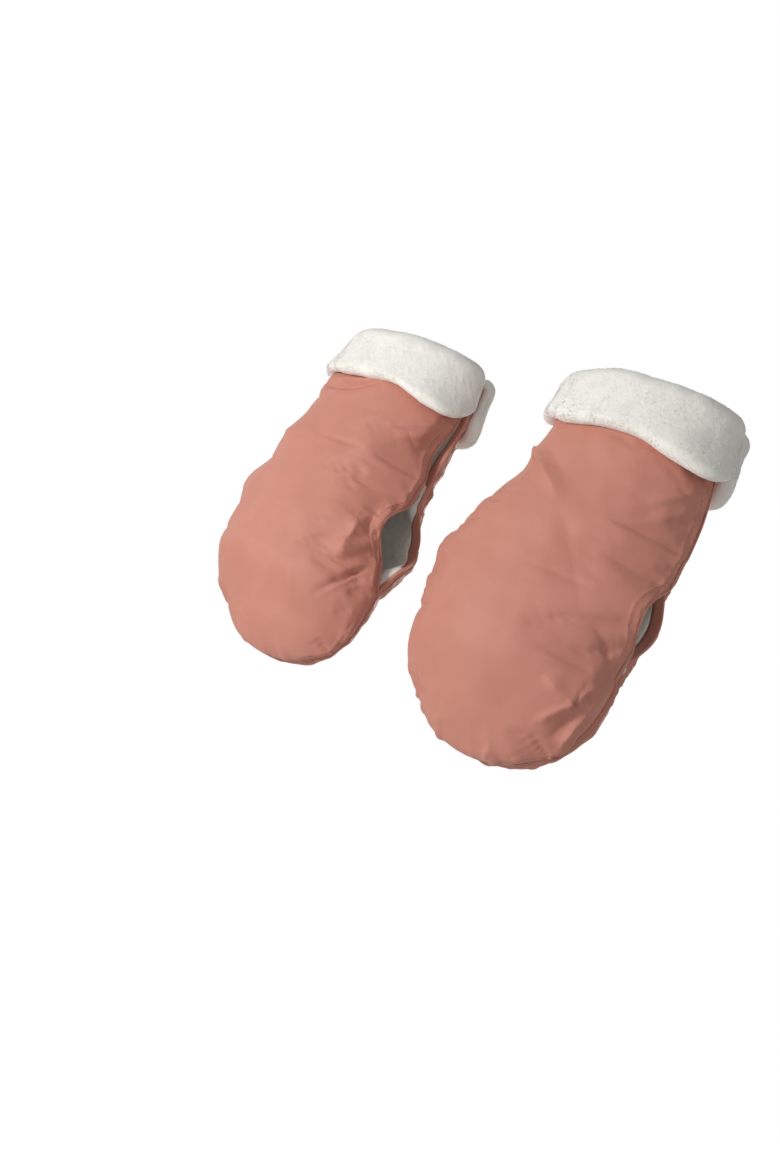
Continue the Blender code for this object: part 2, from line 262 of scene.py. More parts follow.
@dataclass(frozen=True)
class LayeredWaves:
    """Noise of a slow length, with a share of a finer one over it: slow + share * fine."""

    slow: float
    fine: float
    fine_share: float

    def at(self, points: Array, seed: int) -> Array:
        """The noise's value at each point; the finer waves take the next seed."""
        return Waves(self.slow, seed).at(points) + self.fine_share * Waves(self.fine, seed + 1).at(points)


# Meshes

def grid_quads(rows: int, columns: int, closed: bool = False) -> Array:
    """Corner indices of a grid's squares, row by row.

    Args:
        rows: how many rows of points.
        columns: how many points in a row.
        closed: whether each row runs round to its own start.

    Returns:
        An array of shape (squares, 4).
    """
    last = columns if closed else columns - 1
    row, column = np.meshgrid(np.arange(rows - 1), np.arange(last), indexing="ij")
    right = (column + 1) % columns
    corners = [row * columns + column, (row + 1) * columns + column, (row + 1) * columns + right,
               row * columns + right]
    return np.stack(corners, axis=-1).reshape(-1, 4)


def mesh_piece(name: str, points: Array, faces: list[Array], finish: bpy.types.Material,
               cloth: Array | None = None) -> bpy.types.Object:
    """Puts points and faces into a new smooth-shaded object.

    Args:
        name: the piece's name.
        points: places in the frame, one row each.
        faces: arrays of corner indices, each array with faces of one corner count.
        finish: the piece's material.
        cloth: for each point, its place on the flat cloth in metres, kept as a UV map.

    Returns:
        The object, at the origin.
    """
    mesh = bpy.data.meshes.new(name)
    points = np.asarray(points, np.float32).reshape(-1, 3)
    corners = np.concatenate([part.ravel() for part in faces]).astype(np.int32)
    sizes = np.concatenate([np.full(len(part), part.shape[1]) for part in faces]).astype(np.int32)
    mesh.vertices.add(len(points))
    mesh.vertices.foreach_set("co", points.ravel())
    mesh.loops.add(len(corners))
    mesh.loops.foreach_set("vertex_index", corners)
    mesh.polygons.add(len(sizes))
    mesh.polygons.foreach_set("loop_start", np.concatenate([[0], np.cumsum(sizes)[:-1]]).astype(np.int32))
    mesh.polygons.foreach_set("use_smooth", np.ones(len(sizes), bool))
    if cloth is not None:
        layer = mesh.uv_layers.new(name="cloth")
        layer.uv.foreach_set("vector", np.asarray(cloth, np.float32).reshape(-1, 2)[corners].ravel())
    mesh.update(calc_edges=True)
    mesh.validate()
    mesh.materials.append(finish)
    piece = bpy.data.objects.new(name, mesh)
    bpy.context.scene.collection.objects.link(piece)
    return piece


def thickened(piece: bpy.types.Object, thickness: float) -> None:
    """Gives a sheet its thickness, inwards from the face that it was drawn on."""
    wall = piece.modifiers.new("wall", "SOLIDIFY")
    wall.thickness = thickness
    wall.offset = -1
    settle(piece)


def settle(piece: bpy.types.Object) -> None:
    """Turns a piece's modifiers into its own mesh."""
    depsgraph = bpy.context.evaluated_depsgraph_get()
    mesh = bpy.data.meshes.new_from_object(piece.evaluated_get(depsgraph))
    piece.modifiers.clear()
    old = piece.data
    piece.data = mesh
    bpy.data.meshes.remove(old)


def cloth_motion(points: Array, held: Array, cloth: "ClothRun") -> Array:
    """Lets a grid of cloth billow under air pressure from inside, and says how it moved.

    Args:
        points: the grid at rest, of shape (rows, columns, 3), facing outwards.
        held: which points are sewn or clamped, of shape (rows, columns).
        cloth: how the cloth is run.

    Returns:
        How far each point moved, of the grid's shape.
    """
    rows, columns = held.shape
    quads = grid_quads(rows, columns)
    plain = bpy.data.materials.new("trial_cloth")
    piece = mesh_piece("trial_cloth", points, [quads], plain)
    group = piece.vertex_groups.new(name="held")
    group.add(np.flatnonzero(held.ravel()).tolist(), 1.0, "REPLACE")
    modifier = piece.modifiers.new("cloth", "CLOTH")
    settings = modifier.settings
    settings.quality = cloth.quality
    settings.mass = cloth.mass
    settings.tension_stiffness = cloth.stretch
    settings.compression_stiffness = cloth.stretch
    settings.shear_stiffness = cloth.shear
    settings.bending_stiffness = cloth.bend
    settings.vertex_group_mass = "held"
    settings.shrink_min = -cloth.spare
    settings.use_pressure = True
    settings.uniform_pressure_force = cloth.pressure
    settings.effector_weights.gravity = 0
    modifier.collision_settings.use_collision = False
    modifier.point_cache.frame_start = 1
    modifier.point_cache.frame_end = cloth.frames
    scene = bpy.context.scene
    for frame in range(1, cloth.frames + 1):
        scene.frame_set(frame)
    evaluated = piece.evaluated_get(bpy.context.evaluated_depsgraph_get())
    moved = np.zeros(rows * columns * 3, np.float32)
    evaluated.data.vertices.foreach_get("co", moved)
    scene.frame_set(1)
    mesh = piece.data
    bpy.data.objects.remove(piece)
    bpy.data.meshes.remove(mesh)
    bpy.data.materials.remove(plain)
    return moved.reshape(rows, columns, 3).astype(float) - points


@dataclass(frozen=True)
class ClothRun:
    """How a panel's cloth is run: its spare length as a share, and the air inside it."""

    frames: int = 20
    quality: int = 6
    mass: float = 0.15
    stretch: float = 25.0
    shear: float = 8.0
    bend: float = 0.35
    spare: float = 0.025
    pressure: float = 4.0
    rise_limit: float = 0.0030
    side_limit: float = 0.003
    sink_share: float = 0.45
    least_sink: float = 1e-5


# Materials

class NodeSheet:
    """A short way to lay out the nodes of a material or a world."""

    def __init__(self, owner: bpy.types.Material | bpy.types.World) -> None:
        """Takes up the nodes that the owner starts with."""
        owner.use_nodes = True
        self.owner = owner
        self.nodes = owner.node_tree.nodes
        self.links = owner.node_tree.links

    def feed(self, value: object, end: bpy.types.NodeSocket) -> None:
        """Links a socket to an input, or gives the input a plain value."""
        if isinstance(value, bpy.types.NodeSocket):
            self.links.new(value, end)
        else:
            end.default_value = value

    def fill(self, node: bpy.types.Node, **values: object) -> bpy.types.Node:
        """Sets a node's own properties, and feeds its inputs by name.

        Args:
            node: the node.
            **values: properties, or inputs with their spaces written as underscores.

        Returns:
            The same node.
        """
        for name, value in values.items():
            if hasattr(node, name):
                setattr(node, name, value)
            else:
                self.feed(value, node.inputs[name.replace("_", " ")])
        return node

    def add(self, kind: str, **values: object) -> bpy.types.Node:
        """Adds a node of a type, named without its leading ShaderNode, and fills it."""
        return self.fill(self.nodes.new("ShaderNode" + kind), **values)

    def math(self, operation: str, *terms: object) -> bpy.types.NodeSocket:
        """The result of one operation on sockets or numbers."""
        node = self.add("Math", operation=operation)
        for term, end in zip(terms, node.inputs):
            self.feed(term, end)
        return node.outputs[0]

    def place(self) -> bpy.types.NodeSocket:
        """The object's own coordinates."""
        return self.add("TexCoord").outputs["Object"]

    def surface(self, **values: object) -> bpy.types.Material:
        """Fills the material's surface shader, and returns the material."""
        self.fill(self.nodes["Principled BSDF"], **values)
        return self.owner

    def noise(self, source: bpy.types.NodeSocket, scale: float, detail: float = 3.0,
              roughness: float = 0.5) -> bpy.types.NodeSocket:
        """A noise texture on the given coordinates, as a value around a half."""
        node = self.add("TexNoise", Vector=source, Scale=scale, Detail=detail, Roughness=roughness)
        return node.outputs["Fac"]

    def ramp(self, source: bpy.types.NodeSocket, low: tuple, high: tuple,
             start: float = 0.3, end: float = 0.7) -> bpy.types.NodeSocket:
        """A colour that runs from low to high as the source runs from start to end."""
        node = self.add("ValToRGB", Fac=source)
        for stop, place, colour in zip(node.color_ramp.elements, (start, end), (low, high)):
            stop.position = place
            stop.color = (*colour, 1)
        return node.outputs["Color"]

    def bump(self, source: bpy.types.NodeSocket, depth: float, strength: float = 1.0,
             **under: bpy.types.NodeSocket) -> bpy.types.NodeSocket:
        """A bumped normal, depth metres deep, over another Normal if given."""
        return self.add("Bump", Strength=strength, Distance=depth, Height=source, **under).outputs["Normal"]


@dataclass(frozen=True)
class WovenShell:
    """Rose water-repellent plain weave: fine, matte, with a soft sheen."""

    light: tuple[float, float, float] = (0.600, 0.246, 0.183)
    dark: tuple[float, float, float] = (0.560, 0.222, 0.163)
    roughness: float = 0.55
    threads_per_metre: float = 2600.0
    thread_depth: float = 0.00006
    thread_tint: float = 0.10
    slub_depth: float = 0.00005

    def material(self) -> bpy.types.Material:
        """Weave on the cloth's own map, over slow colour drift, with slubs in the thread."""
        sheet = NodeSheet(bpy.data.materials.new("rose_woven_shell"))
        place = sheet.place()
        drift = sheet.noise(place, scale=22.0, detail=4.0, roughness=0.55)
        slub = sheet.noise(place, scale=260.0, detail=2.0)
        weave = self.weave(sheet)
        tint = sheet.add("Mix", data_type="RGBA", blend_type="MULTIPLY")
        colour = sheet.ramp(drift, self.dark, self.light)
        for index, value in ((0, self.thread_tint), (6, colour), (7, weave)):
            sheet.feed(value, tint.inputs[index])
        low, high = self.roughness - 0.05, self.roughness + 0.06
        rough = sheet.add("MapRange", Value=slub, To_Min=low, To_Max=high)
        return sheet.surface(
            Base_Color=tint.outputs[2],
            Normal=sheet.bump(slub, self.slub_depth, Normal=sheet.bump(weave, self.thread_depth)),
            Roughness=rough.outputs["Result"],
            Specular_IOR_Level=0.35,
            Sheen_Weight=0.16,
            Sheen_Roughness=0.45,
            Sheen_Tint=(1.0, 0.78, 0.70, 1.0))

    def weave(self, sheet: NodeSheet) -> bpy.types.NodeSocket:
        """Plain weave: one half plus a half of sin(u) * sin(v), in threads along each way."""
        ways = sheet.add("SeparateXYZ", Vector=sheet.add("UVMap", uv_map="cloth").outputs["UV"]).outputs
        turn = math.pi * self.threads_per_metre
        waves = [sheet.math("SINE", sheet.math("MULTIPLY", ways[axis], turn)) for axis in ("X", "Y")]
        crossed = sheet.math("MULTIPLY", *waves)
        return sheet.add("MapRange", Value=crossed, From_Min=-1.0, From_Max=1.0).outputs["Result"]


@dataclass(frozen=True)
class Plush:
    """Cream plush with a short dense pile."""

    light: tuple[float, float, float] = (0.930, 0.912, 0.855)
    dark: tuple[float, float, float] = (0.870, 0.848, 0.780)
    tuft_scale: float = 420.0
    clump_scale: float = 90.0
    clump_share: float = 0.35
    depth: float = 0.00013

    def material(self) -> bpy.types.Material:
        """Tufts and clumps of pile from two noises on the object's own coordinates."""
        sheet = NodeSheet(bpy.data.materials.new("cream_plush"))
        place = sheet.place()
        tufts = sheet.noise(place, self.tuft_scale, detail=4.0, roughness=0.7)
        clumps = sheet.math("MULTIPLY", sheet.noise(place, self.clump_scale), self.clump_share)
        pile = sheet.math("MULTIPLY_ADD", tufts, 1 - self.clump_share, clumps)
        return sheet.surface(
            Base_Color=sheet.ramp(pile, self.dark, self.light, start=0.32, end=0.62),
            Normal=sheet.bump(pile, self.depth, strength=0.8),
            Roughness=0.92,
            Specular_IOR_Level=0.12,
            Sheen_Weight=0.35,
            Sheen_Roughness=0.6)


@dataclass(frozen=True)
class Wadding:
    """White polyester wadding: lofty, with lumps and stray fibres."""

    colour: tuple[float, float, float] = (0.84, 0.84, 0.83)
    shade: tuple[float, float, float] = (0.70, 0.70, 0.69)
    stretch: tuple[float, float, float] = (1.0, 1.0, 3.5)

    def material(self) -> bpy.types.Material:
        """Fibres from a noise that is stretched along Z."""
        sheet = NodeSheet(bpy.data.materials.new("white_wadding"))
        stretched = sheet.add("Mapping", Vector=sheet.place(), Scale=self.stretch).outputs["Vector"]
        fibres = sheet.noise(stretched, scale=190.0, detail=6.0, roughness=0.7)
        return sheet.surface(
            Base_Color=sheet.ramp(fibres, self.shade, self.colour),
            Normal=sheet.bump(fibres, depth=0.0008),
            Roughness=0.95)


@dataclass(frozen=True)
class NickelPlate:
    """Nickel-plated pressed brass of the studs, lightly brushed round and worn."""

    colour: tuple[float, float, float] = (0.66, 0.64, 0.61)
    worn: tuple[float, float, float] = (0.50, 0.48, 0.44)

    def material(self) -> bpy.types.Material:
        """Fine scuffs in colour, roughness and bump."""
        sheet = NodeSheet(bpy.data.materials.new("nickel_plate"))
        scuffs = sheet.noise(sheet.place(), scale=900.0, detail=5.0, roughness=0.65)
        rough = sheet.add("MapRange", Value=scuffs, To_Min=0.20, To_Max=0.42)
        return sheet.surface(
            Base_Color=sheet.ramp(scuffs, self.worn, self.colour),
            Normal=sheet.bump(scuffs, depth=0.00004, strength=0.5),
            Roughness=rough.outputs["Result"],
            Metallic=1.0)


@dataclass(frozen=True)
class Thread:
    """Rose sewing thread, a shade darker than the shell, with its twist."""

    light: tuple[float, float, float] = (0.47, 0.185, 0.140)
    dark: tuple[float, float, float] = (0.34, 0.125, 0.095)

    def material(self) -> bpy.types.Material:
        """A fine twist as waves over the thread."""
        sheet = NodeSheet(bpy.data.materials.new("rose_thread"))
        twist = sheet.add("TexWave", Vector=sheet.place(), Scale=900.0, Distortion=1.5).outputs["Fac"]
        return sheet.surface(
            Base_Color=sheet.ramp(twist, self.dark, self.light),
            Normal=sheet.bump(twist, depth=0.00005),
            Roughness=0.6)


@dataclass
class Finishes:
    """All the finishes of the pair, each made once."""

    shell: bpy.types.Material = field(default_factory=lambda: WovenShell().material())
    plush: bpy.types.Material = field(default_factory=lambda: Plush().material())
    wadding: bpy.types.Material = field(default_factory=lambda: Wadding().material())
    nickel: bpy.types.Material = field(default_factory=lambda: NickelPlate().material())
    thread: bpy.types.Material = field(default_factory=lambda: Thread().material())


# The cut of a muff

@dataclass(frozen=True)
class Fold:
    """One crisp fold pressed into a panel's shell, along a bent line over its outer face.

    Its line runs through three places, (across, up) in metres from the muff's middle on
    the bar's axis. A negative depth is a valley. With two unlike widths the fold is a tuck:
    it slopes gently on one side of its line, and drops steeply on the other.
    """

    start: tuple[float, float]
    middle: tuple[float, float]
    end: tuple[float, float]
    depth: float
    left_width: float
    right_width: float
    fade_in: float = 0.3
    fade_out: float = 0.3
    kink: float = 0.0008
    steps: int = 32
    settling_rounds: int = 3

    def line(self) -> Array:
        """Even steps along the quadratic curve through the fold's three places."""
        t = np.linspace(0, 1, self.steps + 1)[:, None]
        start, middle, end = (np.array(place) for place in (self.start, self.middle, self.end))
        control = 2 * middle - (start + end) / 2
        return (1 - t) ** 2 * start + 2 * t * (1 - t) * control + t ** 2 * end

    def lift(self, sheet: "Sheet", points: Array, normal: Array) -> Array:
        """How far the fold lifts the cloth along its normal at each point.

        The line is laid on the surface at its nearest points, and smoothed. From its nearest
        step the lift is depth * exp(-away / width), where away = sqrt(distance^2 + kink^2) - kink, and
        it fades out over both ends.

        Args:
            sheet: the panel's grid.
            points: its points.
            normal: the outward normals there.

        Returns:
            The lift, in metres.
        """
        spots = np.linalg.norm(sheet.flat.reshape(-1, 1, 2) - self.line(), axis=-1).argmin(axis=0)
        line = points.reshape(-1, 3)[spots]
        for _ in range(self.settling_rounds):
            line[1:-1] = (line[:-2] + 2 * line[1:-1] + line[2:]) / 4
        away = points[..., None, :] - line
        distance = np.linalg.norm(away, axis=-1)
        nearest = distance.argmin(axis=-1)
        near = np.take_along_axis(distance, nearest[..., None], axis=-1)[..., 0]
        offset = np.take_along_axis(away, nearest[..., None, None], axis=-2)[..., 0, :]
        run = np.gradient(line, axis=0)[nearest]
        turn = (np.cross(run, offset) * normal).sum(axis=-1)
        width = np.where(turn > 0, self.left_width, self.right_width)
        along = nearest / self.steps
        ends = smooth(along, 0, self.fade_in) * smooth(1 - along, 0, self.fade_out)
        return self.depth * np.exp((self.kink - np.hypot(near, self.kink)) / width) * ends


class Layer(Enum):
    """A panel's layers that are cut differently: the shell has narrower hems."""

    LINING = "lining"
    SHELL = "shell"


@dataclass(frozen=True)
class MuffCut:
    """Sizes of a muff's cut, measured from the bar's axis."""

    half_width: float = 0.0945
    mouth_height: float = 0.160
    fold_drop: float = 0.058
    bar_crown_gape: float = 0.0227
    slot_half: float = 0.034
    slot_roundness: float = 1.6
    stud_rise: float = 0.040
    stud_seat_half: float = 0.009
    stud_gape: float = 0.0017
    mouth_gape: float = 0.0022
    seam_gape: float = 0.00015
    stud_lip: float = 0.016
    bar_lip: float = 0.011
    mouth_lip: float = 0.006
    seam_lip: float = 0.005
    shell_lip: float = 0.0012
    shell_seam_lip: float = 0.0012
    lining: float = 0.0022
    lining_edge: float = 0.0011
    wadding: float = 0.0065
    shell: float = 0.0010
    cloth: float = 0.0008
    gap: float = 0.0003
    stud_room: float = 0.0019
    stud_room_fade: float = 0.005
    stud_facing_fade: float = 0.014
    front_cuff_depth: float = 0.050
    hem_width: float = 0.0085
    facing_share: float = 0.75
    least_facing: float = 0.0003

    @property
    def hem_height(self) -> float:
        """Where the front cuff's hem hangs."""
        return self.mouth_height - self.front_cuff_depth

    @property
    def seat_end(self) -> float:
        """How far from the bar's axis the press studs' seats reach."""
        return self.stud_rise + self.stud_seat_half

    @property
    def stack(self) -> float:
        """Full thickness of a panel's layers."""
        return self.lining + self.gap + self.wadding + self.gap + self.shell

    def open_side(self, up: Array) -> Array:
        """0 round the sewn tip, and 1 from the lower studs up, where the sides are open."""
        return smooth(up, -self.fold_drop, -self.seat_end)

    def past_studs(self, up: Array, fade: float) -> Array:
        """0 at the heights of the studs' seats, and 1 from a fade's length beyond them."""
        return smooth(np.abs(np.abs(up) - self.stud_rise), self.stud_seat_half, self.stud_seat_half + fade)


@dataclass(frozen=True)
class Outline:
    """A muff's outline, as shares of its half width over its height, and its tip.

    Heights are shares of the fold's drop below the bar and of the mouth's height above it.
    """

    left: tuple
    right: tuple
    tip_length: float
    tip_lean: float
    right_gape: float
    left_gape: float = 0.0055


@dataclass
class Sheet:
    """A panel's grid: where each point lies across, up and outside, and its padding.

    The margin is about how far each point lies in from the sewn edge's lip.
    """

    across: Array
    up: Array
    depth: Array
    stack: Array
    padding: Array
    margin: Array
    normal_x: Array
    normal_z: Array

    @property
    def shape(self) -> tuple[int, int]:
        """Rows and columns."""
        return self.across.shape

    @property
    def flat(self) -> Array:
        """Each point's places across and up."""
        return np.stack([self.across, self.up], axis=-1)


@dataclass
class PanelShape:
    """One panel of one muff, as a height field over the plane between the two panels.

    Over the puffed middle, a layer's face lies at crown * rise + edge * (1 - rise)^2, where
    rise falls from one in the middle to zero at the puff's edge, and edge is the opening
    with the layers there. Round the puff runs a flat lip, on which rise is zero.
    """

    side: Side
    face: Face
    centre: float
    crown_depth: float
    outline: Outline
    cut: MuffCut = field(default_factory=MuffCut)
    crown_shares: tuple = ((-1.0, 0.95), (0.0, 1.0), (0.3, 0.94), (0.65, 0.78), (1.0, 0.68))
    lining_power: float = 0.62
    shell_power: float = 0.52
    shell_fullness: float = 2.2
    overhang: float = 0.003
    overhang_reach: float = 0.12
    left_overhang: float = 1.0
    right_overhang: float = 0.0
    tip_crown: float = 1.0
    tip_crown_reach: float = 0.6
    gape_shares: tuple[float, float] = (0.34, 0.7)
    seam_step: float = 1 / 3
    lip_step: float = 0.33
    lining_short: float = 0.004
    edge_loft: float = 0.3
    loft_reach: float = 0.15
    folds: tuple = ()

    @property
    def out(self) -> int:
        """The panel's outward direction along Y."""
        return self.face.value

    @property
    def word(self) -> str:
        """The panel's words in the names of nodes, such as left_front."""
        return f"{self.side.word}_{self.face.word}"

    def height_share(self, up: Array) -> Array:
        """The height as a share of the mouth's above the bar, or of the fold's below it."""
        return np.where(up > 0, up / self.cut.mouth_height, up / self.cut.fold_drop)

    def width(self, up: Array, way: Array) -> Array:
        """The half width at a height, to the left where way is negative, else to the right."""
        share = self.height_share(up)
        left = flowing(self.outline.left, share)
        right = flowing(self.outline.right, share)
        return self.cut.half_width * np.where(way < 0, left, right)

    def crown(self, up: Array) -> Array:
        """How far the puff stands out at a height."""
        return self.crown_depth * flowing(self.crown_shares, self.height_share(up))

    def gape(self, up: Array, way: Array) -> Array:
        """Half of the side slot's opening: a table by height, and a bell round the bar.

        Above the studs it is widest between the two gape shares of the way up to the hem.
        The bell's height is the bar's room times cos(pi / 2 * height / slot_half) to the
        power of slot_roundness.

        Args:
            up: heights.
            way: negative on the left side and positive on the right.

        Returns:
            The opening at each height and side.
        """
        cut = self.cut
        hem, seat = cut.hem_height, cut.seat_end
        low, high = (seat + share * (hem - seat) for share in self.gape_shares)
        sides = [eased((
            (-cut.fold_drop, cut.seam_gape), (-seat, cut.stud_gape), (seat, cut.stud_gape), (low, gape),
            (high, gape), (hem, cut.mouth_gape), (cut.mouth_height, cut.mouth_gape)), up)
            for gape in (self.outline.left_gape, self.outline.right_gape)]
        turn = np.clip(np.abs(up) / cut.slot_half, 0, 1) * np.pi / 2
        bell = (cut.bar_crown_gape - cut.stud_gape) * np.cos(turn).clip(0) ** cut.slot_roundness
        return np.where(way < 0, *sides) + bell

    def lip(self, up: Array, layer: Layer) -> Array:
        """The flat lip's width at a height.

        Args:
            up: heights.
            layer: the layer, because the shell's lip is a narrow one.

        Returns:
            The width at each height.
        """
        cut = self.cut
        seat, slot = cut.seat_end, cut.slot_half
        if layer is Layer.SHELL:
            return eased(((-cut.fold_drop, cut.shell_seam_lip), (-seat, cut.shell_lip),
                          (cut.mouth_height, cut.shell_lip)), up)
        return eased((
            (-cut.fold_drop, cut.seam_lip), (-seat, cut.stud_lip), (-slot, cut.stud_lip),
            (-slot / 2, cut.bar_lip), (slot / 2, cut.bar_lip), (slot, cut.stud_lip),
            (seat, cut.stud_lip), ((seat + cut.hem_height) / 2, cut.bar_lip),
            (cut.hem_height, cut.mouth_lip), (cut.mouth_height, cut.mouth_lip)), up)

    def edge_stack(self, up: Array) -> Array:
        """Thickness of the layers at the sewn edge: the shell alone round the tip.

        Beside the studs the lining keeps its full thickness, and there is room for heads.
        """
        cut = self.cut
        near_stud = 1 - cut.past_studs(up, cut.stud_room_fade)
        at_stud = cut.lining - cut.lining_edge + cut.gap + cut.stud_room
        return cut.shell + (cut.lining_edge + cut.gap + near_stud * at_stud) * cut.open_side(up)

    def facing_width(self, up: Array) -> Array:
        """How far the shell's cloth is turned in over the lining, but for the studs' places."""
        cut = self.cut
        bare = cut.past_studs(up, cut.stud_facing_fade)
        return cut.least_facing + cut.facing_share * self.lip(up, Layer.LINING) * cut.open_side(up) * bare

    def rise(self, layer: Layer, across: Array, down: Array) -> Array:
        """How high the puff stands: ((1 - across^fullness) * (1 - down^2))^power."""
        fullness, power = 2, self.lining_power
        if layer is Layer.SHELL:
            fullness, power = self.shell_fullness, self.shell_power
        return (np.clip(1 - across ** fullness, 0, 1) * np.clip(1 - down ** 2, 0, 1)) ** power

    def bulge(self, edge: Array, sewn: Array, way: Array) -> Array:
        """How far the shell's edge stands out sideways over its seam.

        It is overhang * reach * exp(1 - reach), where reach is 1 - edge^2 as a share of
        overhang_reach. Above the sewn tip, each side has its own share of that.

        Args:
            edge: each point's place from the puff's middle, 0, to its edge, 1.
            sewn: 1 round the tip, and 0 where the sides are open.
            way: negative on the left side.

        Returns:
            The length of the move.
        """
        reach = np.clip(1 - edge ** 2, 0, 1) / self.overhang_reach
        free = np.where(way < 0, self.left_overhang, self.right_overhang)
        return self.overhang * (sewn + (1 - sewn) * free) * reach * np.exp(1 - reach)

    def places(self, deep: float, rows: int, tip_rows: int, columns: int) -> tuple[Array, ...]:
        """Where the grid's rows and columns lie, closer together towards the edges.

        Args:
            deep: the puff's share of the tip's length, the rest being its lip.
            rows: straight rows, the fold line's among them.
            tip_rows: rows below the fold line.
            columns: columns.

        Returns:
            For each row its height above the bar, down to the fold line, and its place along
            the tip. For each column its place across the puff and its place on the lip.
        """
        straight = np.linspace(self.cut.mouth_height, -self.cut.fold_drop, rows)
        inside = deep * np.sin(np.pi / 2 * np.arange(1, tip_rows - 1) / (tip_rows - 2))
        seam = [deep + (1 - deep) * self.seam_step, 1.0]
        up = np.concatenate([straight, np.full(tip_rows, -self.cut.fold_drop)])
        along = np.concatenate([np.zeros(rows), inside, seam])
        puff = np.sin(np.linspace(-np.pi / 2, np.pi / 2, columns - 4))
        lip = np.zeros(columns)
        lip[[0, 1, -2, -1]] = [1, self.lip_step, self.lip_step, 1]
        return up[:, None], along[:, None], np.concatenate([[-1, -1], puff, [1, 1]]), lip

    def sheet(self, layer: Layer, rows: int, tip_rows: int, columns: int) -> Sheet:
        """Lays the panel's grid: straight rows down to the fold line, then the tip's rows.

        In the tip, a point's places across and along are carried from a square onto half an
        ellipse: x = wide * across * sqrt(1 - along^2 / 2), and the same for z. The tip leans
        to one side, more the lower a point lies. The inner layers stop short of the tip's
        seam all round.

        Args:
            layer: which layer the grid is for.
            rows: straight rows, the fold line's among them.
            tip_rows: rows below the fold line.
            columns: columns, three of them on each lip.

        Returns:
            The grid.
        """
        cut, outline, shell = self.cut, self.outline, layer is Layer.SHELL
        seam_lip, short = (cut.shell_seam_lip, 0.0) if shell else (cut.seam_lip, self.lining_short)
        deep = (outline.tip_length - seam_lip) / outline.tip_length
        up_row, along, spot, lip = self.places(deep, rows, tip_rows, columns)
        way = np.sign(spot + 0 * along)
        wide = self.width(up_row, way)
        inner = (wide - self.lip(up_row, layer)) / wide
        share = spot * inner + np.sign(spot) * lip * (1 - inner)
        sewn = 1 - cut.open_side(up_row)
        drop = (outline.tip_length - short) * along * np.sqrt(1 - share ** 2 / 2)
        lean = outline.tip_lean * smooth(drop, 0.0, outline.tip_length)
        x = (wide - short * sewn) * share * np.sqrt(1 - along ** 2 / 2) + lean
        z = up_row - drop
        across, down = np.abs(share / inner), along / deep
        edge, rise = np.maximum(across, down), self.rise(layer, across, down)
        tip = 1 + (self.tip_crown - 1) * smooth(drop / outline.tip_length, 0.0, self.tip_crown_reach)
        rim, full = (self.edge_stack(up_row), cut.stack) if shell else (0 * up_row, 0.0)
        crown = self.crown(up_row) * tip + full
        depth = crown * rise + (self.gape(up_row, way) + rim) * (1 - rise) ** 2
        loft = self.edge_loft + (1 - self.edge_loft) * np.minimum(1, rise)
        padding = cut.wadding * loft * smooth(rise, 0.0, self.loft_reach)
        if shell:
            ray_x, ray_z = x / wide ** 2, -drop / outline.tip_length ** 2
            push = self.bulge(edge, sewn, way) / np.maximum(np.hypot(ray_x, ray_z), TINY)
            x, z = x + push * ray_x, z + push * ray_z
        margin = cut.half_width * np.clip(1 - edge, 0, 1)
        return Sheet(x, z, depth, rim + 0 * x, padding, margin, *self.edge_normals(x, z))

    def edge_normals(self, x: Array, z: Array) -> tuple[Array, Array]:
        """The in-plane outward direction of the outline, at each column's or row's end.

        It is the outline's own run turned by a quarter, read on the left edge, the right
        edge and the tip, and zero elsewhere.
        """
        nx, nz = np.zeros_like(x), np.zeros_like(z)
        loop = sewn_edge(x.shape)
        run = unit(np.gradient(np.stack([x[loop], z[loop]], -1), axis=0))
        nx[loop] = run[:, 1]
        nz[loop] = -run[:, 0]
        return nx, nz

    def placed(self, sheet: Sheet, depth: Array, inset: float | Array = 0.0) -> Array:
        """Points of the grid at a depth, with its sewn edge drawn in by an inset.

        Args:
            sheet: the grid.
            depth: how far each point lies outside the plane between the panels.
            inset: how far the sewn edge is drawn in.

        Returns:
            Points in the frame, of shape (rows, columns, 3).
        """
        x = self.centre + sheet.across - sheet.normal_x * inset
        z = sheet.up - sheet.normal_z * inset
        return np.stack([x, self.out * depth, z], axis=-1)

    def facing(self, quads: Array) -> Array:
        """Squares turned to face outwards on this panel."""
        return quads if self.face is Face.FRONT else quads[:, ::-1]


def sewn_edge(shape: tuple[int, int]) -> tuple[Array, Array]:
    """Rows and columns of a panel's sewn edge: down the left, along the tip, up the right."""
    rows, columns = shape
    down = np.arange(rows)
    row = np.concatenate([down, np.full(columns - 2, rows - 1), down[::-1]])
    column = np.concatenate([0 * down, np.arange(1, columns - 1), 0 * down + columns - 1])
    return row, column


